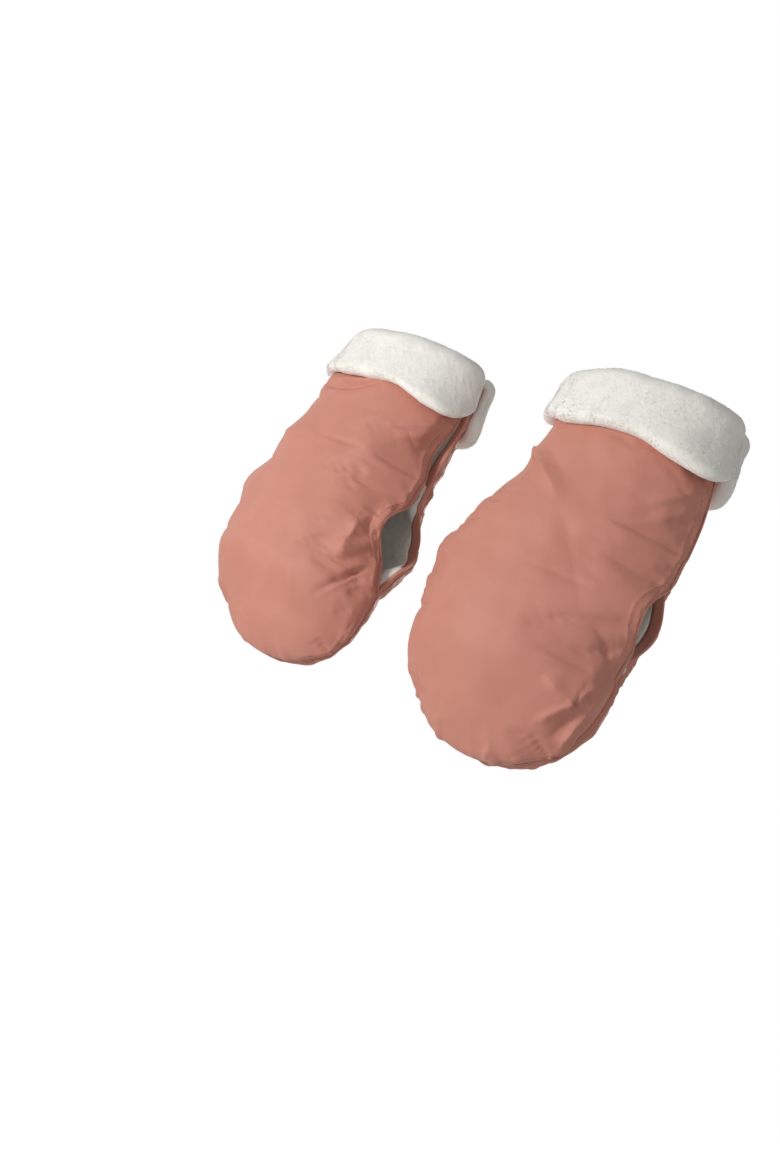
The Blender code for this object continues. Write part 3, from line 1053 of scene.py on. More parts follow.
@dataclass
class ShellPanel:
    """The woven shell of one panel, with its edge rolled round to the lining."""

    shape: PanelShape
    cloth: ClothRun = field(default_factory=ClothRun)
    rows: int = 150
    tip_rows: int = 62
    columns: int = 164
    coarse: int = 3
    roll_steps: int = 7
    facing_steps: int = 3
    roll_pitch: float = 0.0012
    crumple: float = 0.0004
    crumple_waves: LayeredWaves = LayeredWaves(0.060, 0.026, 0.4)
    groove: float = 0.0005
    groove_width: float = 0.0017
    pucker: float = 0.0014
    pucker_length: float = 0.020
    pucker_reach: float = 0.009
    pucker_start: float = 0.003
    seam_fade: float = 0.010
    free_margin: float = 0.009
    held_rows: int = 3
    covered_depth: float = 0.020
    covered_share: float = 0.2
    uncovered_depth: float = 0.005
    loose_padding: float = 0.35
    seed: int = 3
    outer: Array | None = None

    def build(self, finish: bpy.types.Material) -> bpy.types.Object:
        """Billows the panel's cloth, presses its creases, rolls its edge and thickens it.

        Args:
            finish: the woven cloth.

        Returns:
            The shell. The grid of its outer face is kept for the stitches.
        """
        shape = self.shape
        sheet = shape.sheet(Layer.SHELL, self.rows, self.tip_rows, self.columns)
        outline = sewn_edge(sheet.shape)
        radius = sheet.stack / 2
        points = shape.placed(sheet, sheet.depth, radius)
        points += self.billow(sheet, points)
        normal = normals_of(points) * shape.out
        points += normal * self.pressed(sheet, points, normal)[..., None]
        self.outer = points
        roll = self.rolled(sheet, points, radius)
        count = points[..., 0].size
        ring = np.arange(count).reshape(sheet.shape)[outline]
        strip = np.arange(len(roll) * len(ring)).reshape(len(roll), len(ring)) + count
        ladder = np.vstack([ring, strip])
        links = grid_quads(*ladder.shape)
        faces = np.vstack([shape.facing(grid_quads(*sheet.shape)), shape.facing(ladder.ravel()[links])])
        flat = self.flat_cloth(sheet)
        steps = np.arange(1, len(roll) + 1)[:, None, None] * self.roll_pitch
        outwards = np.stack([sheet.normal_x[outline], sheet.normal_z[outline]], axis=-1)
        cloth = np.vstack([flat.reshape(-1, 2), (flat[outline] + steps * outwards).reshape(-1, 2)])
        points = np.vstack([points.reshape(-1, 3), roll.reshape(-1, 3)])
        piece = mesh_piece(shape.word + "_shell_cloth", points, [faces], finish, cloth)
        thickened(piece, shape.cut.cloth)
        return piece

    def billow(self, sheet: Sheet, points: Array) -> Array:
        """How the cloth moves when it is run with its edges sewn, softly limited.

        It moves little where the cuff covers it, and not at all where it has no padding.

        Args:
            sheet: the panel's grid.
            points: its points.

        Returns:
            How far each point moves.
        """
        cut, cloth, out = self.shape.cut, self.cloth, self.shape.out
        coarse = sheet.shape[0] // self.coarse, sheet.shape[1] // (self.coarse + 1)
        held = np.zeros(coarse, bool)
        held[:self.held_rows] = held[-1:] = held[:, :1] = held[:, -1:] = True
        outwards = -out  # the step through the columns that makes the grid face outwards
        motion = cloth_motion(refined(points, *coarse)[:, ::outwards], held, cloth)[:, ::outwards]
        moved = refined(motion, *sheet.shape)
        below = smooth(cut.hem_height - sheet.up, -self.covered_depth, self.uncovered_depth)
        free = self.covered_share + (1 - self.covered_share) * below
        moved *= (smooth(sheet.padding / cut.wadding, 0.0, self.loose_padding) * free)[..., None]
        rise = moved[..., 1] * out
        proud = soft_limit(np.maximum(rise, 0), cloth.rise_limit)
        sink = soft_limit(np.minimum(rise, 0), cloth.least_sink + cloth.sink_share * sheet.padding)
        moved[..., 1] = out * (proud + sink)
        moved[..., ::2] = soft_limit(moved[..., ::2], cloth.side_limit)
        return moved

    def pressed(self, sheet: Sheet, points: Array, normal: Array) -> Array:
        """Lift along the normal: the panel's folds, puckers at the seam, a slight crumple.

        The puckers are noise round the outline, faded out by their distance from the seam.

        Args:
            sheet: the panel's grid.
            points: its points.
            normal: the outward normals there.

        Returns:
            The lift, in metres.
        """
        drop = self.shape.cut.fold_drop
        lift = sum((fold.lift(sheet, points, normal) for fold in self.shape.folds), 0 * sheet.up)
        lift = lift + self.crumple * self.crumple_waves.at(sheet.flat, self.seed)
        below = sheet.flat + [0, drop]
        size = np.linalg.norm(below, axis=-1, keepdims=True)
        around = below / np.maximum(size, TINY) * self.shape.outline.tip_length
        puckers = np.maximum(Waves(self.pucker_length, self.seed + 2).at(around), 0)
        puckers *= np.exp(-sheet.margin / self.pucker_reach) * smooth(sheet.margin, 0.0, self.pucker_start)
        sewn = 1 - smooth(sheet.up, -drop - self.seam_fade, -drop + self.seam_fade)
        lift *= smooth(sheet.margin, 0.0, self.free_margin)
        return lift - self.pucker * puckers * sewn - self.hem_groove(sheet, points)

    def hem_groove(self, sheet: Sheet, points: Array) -> Array:
        """How deep the hem's stitching draws the cloth in: a narrow bell along its line."""
        cut = self.shape.cut
        bell = np.exp(-((edge_lengths(points) - cut.hem_width) / self.groove_width) ** 2)
        return self.groove * bell * smooth(sheet.up, -cut.fold_drop, self.seam_fade - cut.fold_drop)

    def rolled(self, sheet: Sheet, points: Array, radius: Array) -> Array:
        """The rolled edge: half a turn from the outer face to the lining, then the facing.

        At an angle a from 0 to pi, a point lies radius * sin(a) outside the edge's end and
        at the roll's middle depth plus radius * cos(a). From there the cloth runs back in.

        Args:
            sheet: the panel's grid.
            points: its points.
            radius: the roll's radius at each point.

        Returns:
            Rings of points along the sewn edge, from the outer face inwards.
        """
        outline = sewn_edge(sheet.shape)
        r = radius[outline]
        angles = np.linspace(0, np.pi, self.roll_steps + 1)[1:, None]
        start = points[outline]
        x = start[:, 0] + sheet.normal_x[outline] * r * np.sin(angles)
        z = start[:, 2] + sheet.normal_z[outline] * r * np.sin(angles)
        y = start[:, 1] + self.shape.out * r * (np.cos(angles) - 1)
        roll = np.stack([x, y, z], axis=-1)
        normal = np.stack([sheet.normal_x[outline], 0 * r, sheet.normal_z[outline]], axis=-1)
        width = self.shape.facing_width(sheet.up[outline])[:, None]
        part = np.arange(1, self.facing_steps + 1)[:, None, None] / self.facing_steps
        return np.concatenate([roll, roll[-1] - normal * width * part])

    def flat_cloth(self, sheet: Sheet) -> Array:
        """Each point's place on the flat cloth: its lengths across and along the sheet."""
        step_across = np.hypot(np.diff(sheet.across, axis=1), np.diff(sheet.depth, axis=1))
        u = np.concatenate([np.zeros((sheet.shape[0], 1)), np.cumsum(step_across, axis=1)], axis=1)
        u -= u[:, u.shape[1] // 2][:, None]
        return np.stack([u, sheet.up], axis=-1)


@dataclass
class LiningPanel:
    """The plush lining of one panel, pile inwards."""

    shape: PanelShape
    rows: int = 130
    tip_rows: int = 52
    columns: int = 104
    pile: float = 0.00035
    tuft_share: float = 0.5
    tuft_waves: LayeredWaves = LayeredWaves(0.0065, 0.0035, 0.7)
    full_padding: float = 0.25
    seed: int = 11

    def build(self, finish: bpy.types.Material) -> bpy.types.Object:
        """A closed sheet whose inner face is rough with pile, and whose rim is evened out.

        Args:
            finish: the plush.

        Returns:
            The lining.
        """
        shape, cut = self.shape, self.shape.cut
        sheet = shape.sheet(Layer.LINING, self.rows, self.tip_rows, self.columns)
        inset = self.edge_inset(sheet)
        pile = self.pile * (1 + self.tuft_share * self.tuft_waves.at(sheet.flat, self.seed))
        inner = shape.placed(sheet, sheet.depth + pile, inset)
        full = smooth(sheet.padding / cut.wadding, 0.0, self.full_padding)
        thickness = cut.lining_edge + (cut.lining - cut.lining_edge) * full
        outer = shape.placed(sheet, sheet.depth + thickness, inset)
        for face in (inner, outer):
            face[:, 1] = (face[:, 0] + 2 * face[:, 2]) / 3
            face[:, -2] = (face[:, -1] + 2 * face[:, -3]) / 3
        return closed_pair(shape.word + "_lining_plush", shape, outer, inner, finish)

    def edge_inset(self, sheet: Sheet) -> Array:
        """How far the lining stops short of the shell's rolled hem."""
        cut = self.shape.cut
        hem = self.shape.edge_stack(sheet.up) / 2 + cut.gap + self.shape.facing_width(sheet.up)
        return hem * cut.open_side(sheet.up)


@dataclass
class WaddingPanel:
    """The wadding between a panel's shell and lining."""

    shape: PanelShape
    rows: int = 90
    tip_rows: int = 36
    columns: int = 72
    loft_share: float = 0.5
    least_loft: float = 0.0002
    lump_share: float = 0.12
    lump_length: float = 0.018
    mouth_rows: int = 4
    edge_rows: int = 2
    seed: int = 21

    def build(self, finish: bpy.types.Material) -> bpy.types.Object:
        """A closed lumpy sheet, thinner than the room it lies in, that stops at the lips.

        Args:
            finish: the wadding's material.

        Returns:
            The wadding.
        """
        shape, cut = self.shape, self.shape.cut
        sheet = shape.sheet(Layer.LINING, self.rows, self.tip_rows, self.columns)
        lumps = 1 + self.lump_share * Waves(self.lump_length, self.seed).at(sheet.flat)
        base = sheet.depth + cut.lining + cut.gap
        loft = np.maximum(self.loft_share * sheet.padding * lumps, self.least_loft)
        inside = slice(self.mouth_rows, -self.edge_rows), slice(self.edge_rows, -self.edge_rows)
        inner, outer = (shape.placed(sheet, depth)[inside] for depth in (base, base + loft))
        return closed_pair(shape.word + "_wadding_sheet", shape, outer, inner, finish)


def closed_pair(name: str, shape: PanelShape, outer: Array, inner: Array,
                finish: bpy.types.Material) -> bpy.types.Object:
    """A closed sheet between an outer and an inner grid of the same shape.

    Args:
        name: the piece's name.
        shape: the panel, for its outward direction.
        outer: points of the outer face.
        inner: points of the inner face.
        finish: the piece's material.

    Returns:
        The object.
    """
    quads = grid_quads(*outer.shape[:2])
    count = outer[..., 0].size
    index = np.arange(count).reshape(outer.shape[:2])
    rim = np.concatenate([index[:, 0], index[-1, 1:], index[-2::-1, -1], index[0, -2:0:-1]])
    after = np.roll(rim, -1)
    sides = np.stack([rim, rim + count, after + count, after], axis=-1)
    faces = np.vstack([shape.facing(quads), shape.facing(quads[:, ::-1] + count), shape.facing(sides)])
    points = np.vstack([outer.reshape(-1, 3), inner.reshape(-1, 3)])
    return mesh_piece(name, points, [faces], finish)


@dataclass(frozen=True)
class Pile:
    """Loose strands over a plush cuff's outer face, each a bent three-sided spike.

    A strand leans outwards, droops, and is combed to the side by slow waves. It runs from
    its root along its lean, with its middle raised off the straight line.
    """

    count: int = 11000
    length: float = 0.0024
    width: float = 0.00024
    length_shares: tuple[float, float] = (0.6, 1.25)
    width_shares: tuple[float, float] = (0.7, 1.2)
    outward: float = 0.75
    droop: float = 0.75
    scatter: float = 0.33
    comb: float = 0.55
    comb_length: float = 0.020
    comb_way: tuple[float, float, float] = (1.0, 0.3, 0.0)
    covered_share: float = 0.93
    root_depth: float = 0.0003
    middle_rise: float = 0.12
    middle_width: float = 0.7

    def build(self, cuff: "PlushCuff", points: Array, normal: Array, finish: bpy.types.Material
              ) -> bpy.types.Object:
        """Grows the strands on a cuff: each has a root triangle, a middle one and a tip.

        Args:
            cuff: the cuff.
            points: the rings of points of its surface, outer face first.
            normal: the outward normals there.
            finish: the plush.

        Returns:
            All the strands as one object.
        """
        draw = np.random.default_rng(cuff.seed + 9)
        rows = draw.uniform(2, len(points) - 3, self.count)
        columns = draw.uniform(0, cuff.half_around * self.covered_share, self.count)
        root, out = between(points, rows, columns), unit(between(normal, rows, columns))
        comb = Waves(self.comb_length, cuff.seed + 5).at(root)[:, None] * np.array(self.comb_way)
        scatter = draw.normal(scale=self.scatter, size=root.shape)
        lean = unit(self.outward * out + self.comb * comb + [0, 0, -self.droop] + scatter)
        length = self.length * draw.uniform(*self.length_shares, (self.count, 1))
        side = unit(np.cross(lean, out))
        width = self.width * draw.uniform(*self.width_shares, (self.count, 1))
        angles = np.array([0, 2, 4])[:, None] * np.pi / 3
        spread = side[:, None] * np.cos(angles) + np.cross(lean, side)[:, None] * np.sin(angles)
        spread = width[:, None] * spread
        middle = root + length * (lean / 2 + self.middle_rise * out)
        places = np.concatenate([
            (root - self.root_depth * out)[:, None] + spread,
            middle[:, None] + self.middle_width * spread,
            (root + length * lean)[:, None],
        ], axis=1)
        start = 7 * np.arange(self.count)[:, None, None]
        walls = start + np.array([[0, 1, 4, 3], [1, 2, 5, 4], [2, 0, 3, 5]])
        ends = start + np.array([[3, 4, 6], [4, 5, 6], [5, 3, 6], [2, 1, 0]])
        name = cuff.shape.word + "_cuff_pile"
        return mesh_piece(name, places, [walls.reshape(-1, 4), ends.reshape(-1, 3)], finish)


@dataclass
class PlushCuff:
    """A thick plush cuff, rolled over one panel's top edge.

    Its section is a bent sausage: up from the hem, over the edge and a little way down
    inside. It is carried round the panel's top along half an ellipse, with rounded ends,
    where the roll sinks onto the panel's edge.
    """

    shape: PanelShape
    seed: int
    depth: float
    right_trim: float
    hem_shares: tuple
    thickness: float = 0.0125
    inner_depth: float = 0.014
    inner_inset: float = 0.008
    roll_start: float = 0.004
    roll_rise: float = 0.0050
    end_rise_share: float = 0.2
    inner_share: float = 0.32
    thinning_start: float = 0.15
    hem_swell: float = 0.10
    hem_swell_reach: float = 1.6
    least_round: float = 0.002
    stand_off: float = 0.0004
    end_length: float = 0.007
    end_depth: float = 0.0005
    first_turn: float = 0.18
    left_corner: float = 0.012
    right_corner: float = 0.020
    corner_share: float = 0.35
    mouth_wide_share: float = 0.87
    mouth_deep_share: float = 0.68
    flare_shares: tuple = ((-1.0, 0.0), (1.0, 0.0))
    flare_limit: float = 1.3
    steps: int = 250
    end_steps: int = 14
    line_steps: int = 60
    measuring_steps: int = 2000
    half_around: int = 95
    crowding: float = 0.35
    lump: float = 0.0005
    lump_waves: LayeredWaves = LayeredWaves(0.060, 0.022, 0.35)
    tuft: float = 0.00006
    tuft_waves: LayeredWaves = LayeredWaves(0.0062, 0.0034, 0.6)
    pile: Pile = field(default_factory=Pile)

    def section(self) -> dict[str, Array]:
        """The sausage along its middle line, from the hem to the inner end.

        Over the edge the line is half an ellipse, which starts a little below the edge: for
        an angle a from 0 to pi, its height is (roll_start + roll_rise) * sin(a) - roll_start
        and its way inside is (1 - cos(a)) / 2.

        Returns:
            For each place on the line: inside, which is 0 on the outer face and 1 on the
            inner one, offset from that face, height above the mouth, the thickness
            direction's two parts, and the half thickness.
        """
        half, thin = self.thickness / 2, self.thickness / 2 * self.inner_share
        angle = np.linspace(0, np.pi, self.line_steps)
        rising = np.linspace(-self.depth, -self.roll_start, self.line_steps)[:-1]
        sinking = np.linspace(-self.roll_start, -self.inner_depth, self.line_steps // 2)[1:]
        arch = (self.roll_start + self.roll_rise) * np.sin(angle) - self.roll_start
        height = np.concatenate([rising, arch, sinking])
        inside = np.concatenate([0 * rising, (1 - np.cos(angle)) / 2, 0 * sinking + 1])
        offset = (half + self.stand_off) * (1 - inside) - (thin + self.stand_off) * inside
        across = offset - inside * self.shape.cut.stack
        length = run_lengths(np.stack([across, height], axis=-1))
        even = (np.arange(self.half_around) + 0.5) / self.half_around
        part = self.crowding * (1 - np.cos(np.pi * even)) / 2 + (1 - self.crowding) * even
        at = part * length[-1]
        inside, offset, across, height = (
            np.interp(at, length, row) for row in (inside, offset, across, height))
        run = np.gradient(np.stack([across, height]), axis=1)
        run /= np.linalg.norm(run, axis=0)
        thickness = half + (thin - half) * smooth(inside, self.thinning_start, 1.0)
        ends = np.minimum(at, length[-1] - at) / thickness
        swell = 1 + self.hem_swell * np.exp(-((at - half) / (self.hem_swell_reach * half)) ** 2)
        thickness = thickness * swell * rounded(ends, self.least_round)
        return {"inside": inside, "offset": offset, "height": height, "out": run[1], "up": -run[0],
                "half": thickness}

    def path(self) -> tuple[Array, Array, Array]:
        """Angles at even steps round the mouth's half ellipse, and the ends' rounding.

        The hem's corners are rounded too: within a corner's radius of an end, the share of
        the full depth falls as a quarter of a circle does, down to corner_share.

        Returns:
            Angles from one end to the other, and for each the share of full thickness and
            the share of full depth.
        """
        cut = self.shape.cut
        wide = self.mouth_wide_share * cut.half_width
        deep = self.mouth_deep_share * self.shape.crown_depth + cut.stack
        turn = np.linspace(0, np.pi, self.measuring_steps)
        length = run_lengths(np.stack([wide * np.cos(turn), deep * np.sin(turn)], axis=-1))
        end, total = self.end_length, length[-1] - self.right_trim
        close = end * (1 - np.cos(np.linspace(self.first_turn, np.pi / 2, self.end_steps)))
        at = np.concatenate([close, np.linspace(end, total - end, self.steps)[1:-1], total - close[::-1]])
        inward = np.minimum(at / self.left_corner, (total - at) / self.right_corner)
        corner = self.corner_share + (1 - self.corner_share) * rounded(inward)
        return np.interp(at, length, turn), rounded(np.minimum(at, total - at) / end), corner

    def surface(self) -> Array:
        """The cuff's smooth surface, as rings of points from one end to the other."""
        shape, cut, start = self.shape, self.shape.cut, self.roll_start
        turn, fullness, corner = (row[:, None] for row in self.path())
        ring = {key: np.concatenate([row, row[::-1]]) for key, row in self.section().items()}
        half = ring["half"] * np.repeat([1.0, -1.0], self.half_around) * fullness
        share = -np.cos(turn)
        longer = eased(self.hem_shares, share) * corner
        lower = self.end_rise_share + (1 - self.end_rise_share) * fullness
        middle = np.where(ring["height"] > 0, ring["height"] * lower, ring["height"])
        middle = np.where(ring["height"] < -start, (ring["height"] + start) * longer - start, middle)
        height = middle + half * ring["up"]
        flare = eased(self.flare_shares, share) * np.clip(-height / self.depth, 0, self.flare_limit) ** 2
        offset = ring["offset"] + half * ring["out"] + flare
        up = np.minimum(cut.mouth_height + height, cut.mouth_height)
        inside = ring["inside"]
        wide = shape.width(up, share + 0 * up) - self.inner_inset * inside
        deep = shape.crown(up) + cut.stack * (1 - inside) - self.end_depth
        nx, ny = share / wide, np.sin(turn) / deep
        size = np.hypot(nx, ny)
        x = wide * share + offset * nx / size
        y = self.end_depth + deep * np.sin(turn) + offset * ny / size
        return np.stack([shape.centre + x, shape.out * y, cut.mouth_height + height], axis=-1)

    def build(self, finish: bpy.types.Material) -> list[bpy.types.Object]:
        """The cuff's plush body, lumpy and tufted, and its loose pile.

        Args:
            finish: the plush.

        Returns:
            The body and the pile.
        """
        face, out = self.surface(), self.shape.out
        closed = np.concatenate([face[:, -1:], face, face[:, :1]], axis=1)
        normal = normals_of(closed)[:, 1:-1] * out
        rough = (self.lump * self.lump_waves.at(face, self.seed)
                 + self.tuft * self.tuft_waves.at(face, self.seed + 2))
        points = face + normal * rough[..., None]
        rows, columns = points.shape[:2]
        first = np.arange(self.half_around - 1)
        cap = np.stack([first, first + 1, columns - 2 - first, columns - 1 - first], axis=-1)
        far_cap = (rows - 1) * columns + cap[:, [0, 3, 2, 1]]
        faces = np.vstack([grid_quads(rows, columns, closed=True), cap, far_cap])
        body = mesh_piece(self.shape.word + "_cuff_plush", points, [faces[:, ::out]], finish)
        return [body, self.pile.build(self, points, normal, finish)]


def between(grid: Array, rows: Array, columns: Array) -> Array:
    """Values of a grid between its points, by the four nearest.

    Args:
        grid: values of shape (rows, columns, n).
        rows: places down the grid.
        columns: places across it.

    Returns:
        One value for each place.
    """
    row, column = rows.astype(int), columns.astype(int)
    down, across = (rows - row)[:, None], (columns - column)[:, None]
    top = grid[row, column] * (1 - across) + grid[row, column + 1] * across
    bottom = grid[row + 1, column] * (1 - across) + grid[row + 1, column + 1] * across
    return top * (1 - down) + bottom * down


class StudPart(Named):
    """The four turned parts of a press stud, each a profile of (radius, height) shares.

    Heights run from 0 on the side of the back panel to 1 on the side of the front panel.
    """

    CAP = ((0.0, 1.0), (0.45, 0.98), (0.8, 0.85), (0.95, 0.6), (1.0, 0.35), (0.97, 0.1), (0.9, 0.0),
           (0.0, 0.0))
    SOCKET = ((0.0, 0.82), (0.36, 0.82), (0.42, 0.2), (0.5, 0.0), (0.6, 0.12), (0.72, 0.3), (0.9, 0.22),
              (1.0, 0.5), (0.96, 0.9), (0.88, 1.0), (0.0, 1.0))
    STUD = ((0.0, 1.0), (0.2, 0.97), (0.33, 0.86), (0.36, 0.7), (0.3, 0.55), (0.4, 0.46), (0.7, 0.42),
            (0.92, 0.36), (1.0, 0.2), (0.95, 0.04), (0.88, 0.0), (0.0, 0.0))
    POST = ((0.0, 0.25), (0.25, 0.25), (0.35, 0.0), (0.6, 0.1), (0.9, 0.35), (1.0, 0.65), (0.95, 0.9),
            (0.88, 1.0), (0.0, 1.0))


@dataclass(frozen=True)
class PressStud:
    """One press stud's four parts, each turned on a line along Y within its node's box."""

    side: Side
    level: str
    place: str
    steps: int = 48

    def node(self, part: StudPart) -> str:
        """The frame's node for one part."""
        return f"{self.side.word}_{self.level}_{self.place}_{part.word}"

    def build(self, part: StudPart, finish: bpy.types.Material) -> bpy.types.Object:
        """Turns one part's profile, its corners rounded by cutting them twice.

        Args:
            part: which of the four parts.
            finish: its material.

        Returns:
            The turned part.
        """
        low, high = (np.array(corner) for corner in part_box(self.node(part)))
        profile = np.array(part.value, float)
        for _ in range(2):
            start, end = profile[:-1], profile[1:]
            cuts = np.stack([0.75 * start + 0.25 * end, 0.25 * start + 0.75 * end], axis=1).reshape(-1, 2)
            profile = np.vstack([profile[:1], cuts, profile[-1:]])
        radius = profile[:, 0] * (high[0] - low[0]) / 2
        depth = high[1] - profile[:, 1] * (high[1] - low[1])
        turn = np.linspace(0, 2 * np.pi, self.steps, endpoint=False)
        middle = (low + high) / 2
        rings = radius[1:-1, None]
        x = middle[0] + rings * np.cos(turn)
        z = middle[2] + rings * np.sin(turn)
        y = depth[1:-1, None] + np.zeros_like(x)
        poles = np.array([[middle[0], depth[0], middle[2]], [middle[0], depth[-1], middle[2]]])
        count = x.size
        points = np.vstack([np.stack([x, y, z], -1).reshape(-1, 3), poles])
        walls = grid_quads(len(rings), self.steps, closed=True)
        edge = np.arange(self.steps)
        after = (edge + 1) % self.steps
        last = count - self.steps
        first_fan = np.stack([edge, after, np.full(self.steps, count)], -1)
        last_fan = np.stack([last + after, last + edge, np.full(self.steps, count + 1)], -1)
        faces = [walls, first_fan, last_fan]
        if self.inside_out(points, walls):
            faces = [part[:, ::-1] for part in faces]
        return mesh_piece(self.node(part) + "_turned", points, faces, finish)

    @staticmethod
    def inside_out(points: Array, walls: Array) -> bool:
        """Whether the squares enclose a negative volume."""
        a, b, c, d = (points[walls[:, corner]] for corner in range(4))
        middle = points.mean(axis=0)
        return float(np.einsum("ij,ij->", a - middle, np.cross(b - middle, c - middle))
                     + np.einsum("ij,ij->", a - middle, np.cross(c - middle, d - middle))) < 0


@dataclass
class HemStitching:
    """Small stitches in a line along both side hems of a panel's shell."""

    shape: PanelShape
    pitch: float = 0.0034
    length: float = 0.0026
    radius: float = 0.00024
    top: float = 0.100
    bottom: float = -0.052
    around: int = 6
    along: int = 5
    end_roundness: float = 0.85

    def build(self, outer: Array, finish: bpy.types.Material) -> bpy.types.Object:
        """Lays each stitch as a small capsule, half sunk into the shell.

        Args:
            outer: the grid of points of the shell's outer face.
            finish: the thread.

        Returns:
            All the stitches as one object.
        """
        inside = (outer[:, 0, 2] < self.top) & (outer[:, 0, 2] > self.bottom)
        normal = normals_of(outer)[inside] * self.shape.out
        outer, lengths = outer[inside], edge_lengths(outer)[inside]
        chains = [self.chain(outer[:, ::way], normal[:, ::way], lengths[:, ::way]) for way in (1, -1)]
        middle, out, run = (np.concatenate(parts)[:, None, None] for parts in zip(*chains))
        side = np.cross(out, run)
        end = np.sin(np.linspace(-np.pi / 2, np.pi / 2, self.along + 2)[1:-1])[None, :, None, None]
        turn = (np.arange(self.around) * 2 * np.pi / self.around)[None, None, :, None]
        girth = self.radius * np.sqrt(1 - self.end_roundness * end ** 2)
        points = middle + run * end * self.length / 2 + girth * (side * np.cos(turn) + out * np.sin(turn))
        rings = self.along * self.around
        start = rings * np.arange(len(middle))[:, None, None]
        walls = (start + grid_quads(self.along, self.around, closed=True))[..., ::-1]
        ring = np.arange(self.around)
        ends = (start + np.stack([ring[::-1], ring + rings - self.around]))[..., ::-1]
        name = self.shape.word + "_hem_stitches"
        return mesh_piece(name, points, [walls.reshape(-1, 4), ends.reshape(-1, self.around)], finish)

    def chain(self, outer: Array, normal: Array, lengths: Array) -> tuple[Array, Array, Array]:
        """Even places down the line that lies a hem's width in from the grid's first column.

        Args:
            outer: the grid of points.
            normal: the outward normals there.
            lengths: each point's length along its row from the edge.

        Returns:
            For each stitch its middle, its outward direction and its run.
        """
        width = self.shape.cut.hem_width
        row = np.arange(len(outer))
        near = (lengths[:, :outer.shape[1] // 2] < width).sum(axis=1) - 1
        low, high = lengths[row, near], lengths[row, near + 1]
        part = ((width - low) / (high - low))[:, None]
        line = outer[row, near] * (1 - part) + outer[row, near + 1] * part
        out = normal[row, near] * (1 - part) + normal[row, near + 1] * part
        length = run_lengths(line)
        run = np.gradient(line, length, axis=0)
        at = np.arange(self.pitch, length[-1] - self.pitch, self.pitch)
        middle, out, run = (np.stack([np.interp(at, length, rows[:, axis]) for axis in range(3)], axis=1)
                            for rows in (line, out, run))
        run = unit(run)
        return middle, unit(out - (out * run).sum(axis=1, keepdims=True) * run), run


@dataclass
class Muff:
    """One muff: two panels of three layers, two cuffs and four press studs."""

    side: Side
    spacing: float = 0.255
    front_crown: float = 0.044
    back_crown: float = 0.037

    def __post_init__(self) -> None:
        """Cuts both panels to this muff's own outline and folds."""
        looks = LOOKS[self.side]
        centre = self.side.value * self.spacing / 2
        self.front = PanelShape(
            self.side, Face.FRONT, centre, self.front_crown, looks.outline, **looks.front)
        self.back = PanelShape(
            self.side, Face.BACK, centre, self.back_crown, looks.back_outline, **looks.back)
        self.front_cuff = PlushCuff(self.front, **looks.front_cuff)
        self.back_cuff = PlushCuff(self.back, **looks.back_cuff)

    def dress(self, finishes: Finishes) -> None:
        """Builds and dresses every piece of the muff."""
        for shape in (self.front, self.back):
            self.dress_layers(shape, finishes)
        for cuff in (self.front_cuff, self.back_cuff):
            self.dress_cuff(cuff, finishes)
        for level in ("upper", "lower"):
            for place in ("outer", "inner"):
                self.dress_stud(PressStud(self.side, level, place), finishes)

    def dress_layers(self, shape: PanelShape, finishes: Finishes) -> None:
        """Shell, lining, wadding and hem stitches of one panel.

        Args:
            shape: the panel.
            finishes: the pair's materials.
        """
        panel = ShellPanel(shape, seed=20 + 10 * self.side.value + shape.face.value)
        shell = panel.build(finishes.shell)
        lining = LiningPanel(shape).build(finishes.plush)
        wadding = WaddingPanel(shape).build(finishes.wadding)
        stitches = HemStitching(shape).build(panel.outer, finishes.thread)
        for piece, layer, slot in ((shell, "shell", "rose_shell"), (lining, "lining", "plush"),
                                   (wadding, "wadding", "wadding"), (stitches, None, "rose_shell")):
            self.join(piece, shape)
            if layer is not None:
                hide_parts(*self.layer_nodes(shape, layer))
            report(piece)

    def layer_nodes(self, shape: PanelShape, layer: str) -> list[str]:
        """The frame's nodes for one layer: three for the front, one for the back."""
        if shape.face is Face.FRONT:
            return [f"{shape.word}_{part}_{layer}" for part in ("flap", "fold", "tip")]
        return [f"{shape.word}_{layer}"]

    def join(self, piece: bpy.types.Object, shape: PanelShape) -> None:
        """Bakes a front piece's place into its own mesh, or attaches a back piece to the root."""
        if shape.face is Face.FRONT:
            f"{self.side.word}_flap"
            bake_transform(piece)
        else:
            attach(piece, "root")

    def dress_cuff(self, cuff: PlushCuff, finishes: Finishes) -> None:
        """One cuff's body and pile.

        Args:
            cuff: the cuff.
            finishes: the pair's materials.
        """
        body, pile = cuff.build(finishes.plush)
        for piece in (body, pile):
            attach(piece, f"{self.side.word}_flap" if cuff.shape.face is Face.FRONT else "root")
            report(piece)
        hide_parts(cuff.shape.word + "_cuff")

    def dress_stud(self, stud: PressStud, finishes: Finishes) -> None:
        """One press stud's four parts: cap and socket in the front, stud and post behind.

        Args:
            stud: the press stud.
            finishes: the pair's materials.
        """
        for part in StudPart:
            piece = stud.build(part, finishes.nickel)
            front = part in (StudPart.CAP, StudPart.SOCKET)
            self.join(piece, self.front if front else self.back)
            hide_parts(stud.node(part))
            report(piece)


@dataclass(frozen=True)
class MuffLook:
    """What differs between the two muffs: outlines, folds and cuffs."""

    outline: Outline
    back_outline: Outline
    front: dict
    back: dict
    front_cuff: dict
    back_cuff: dict


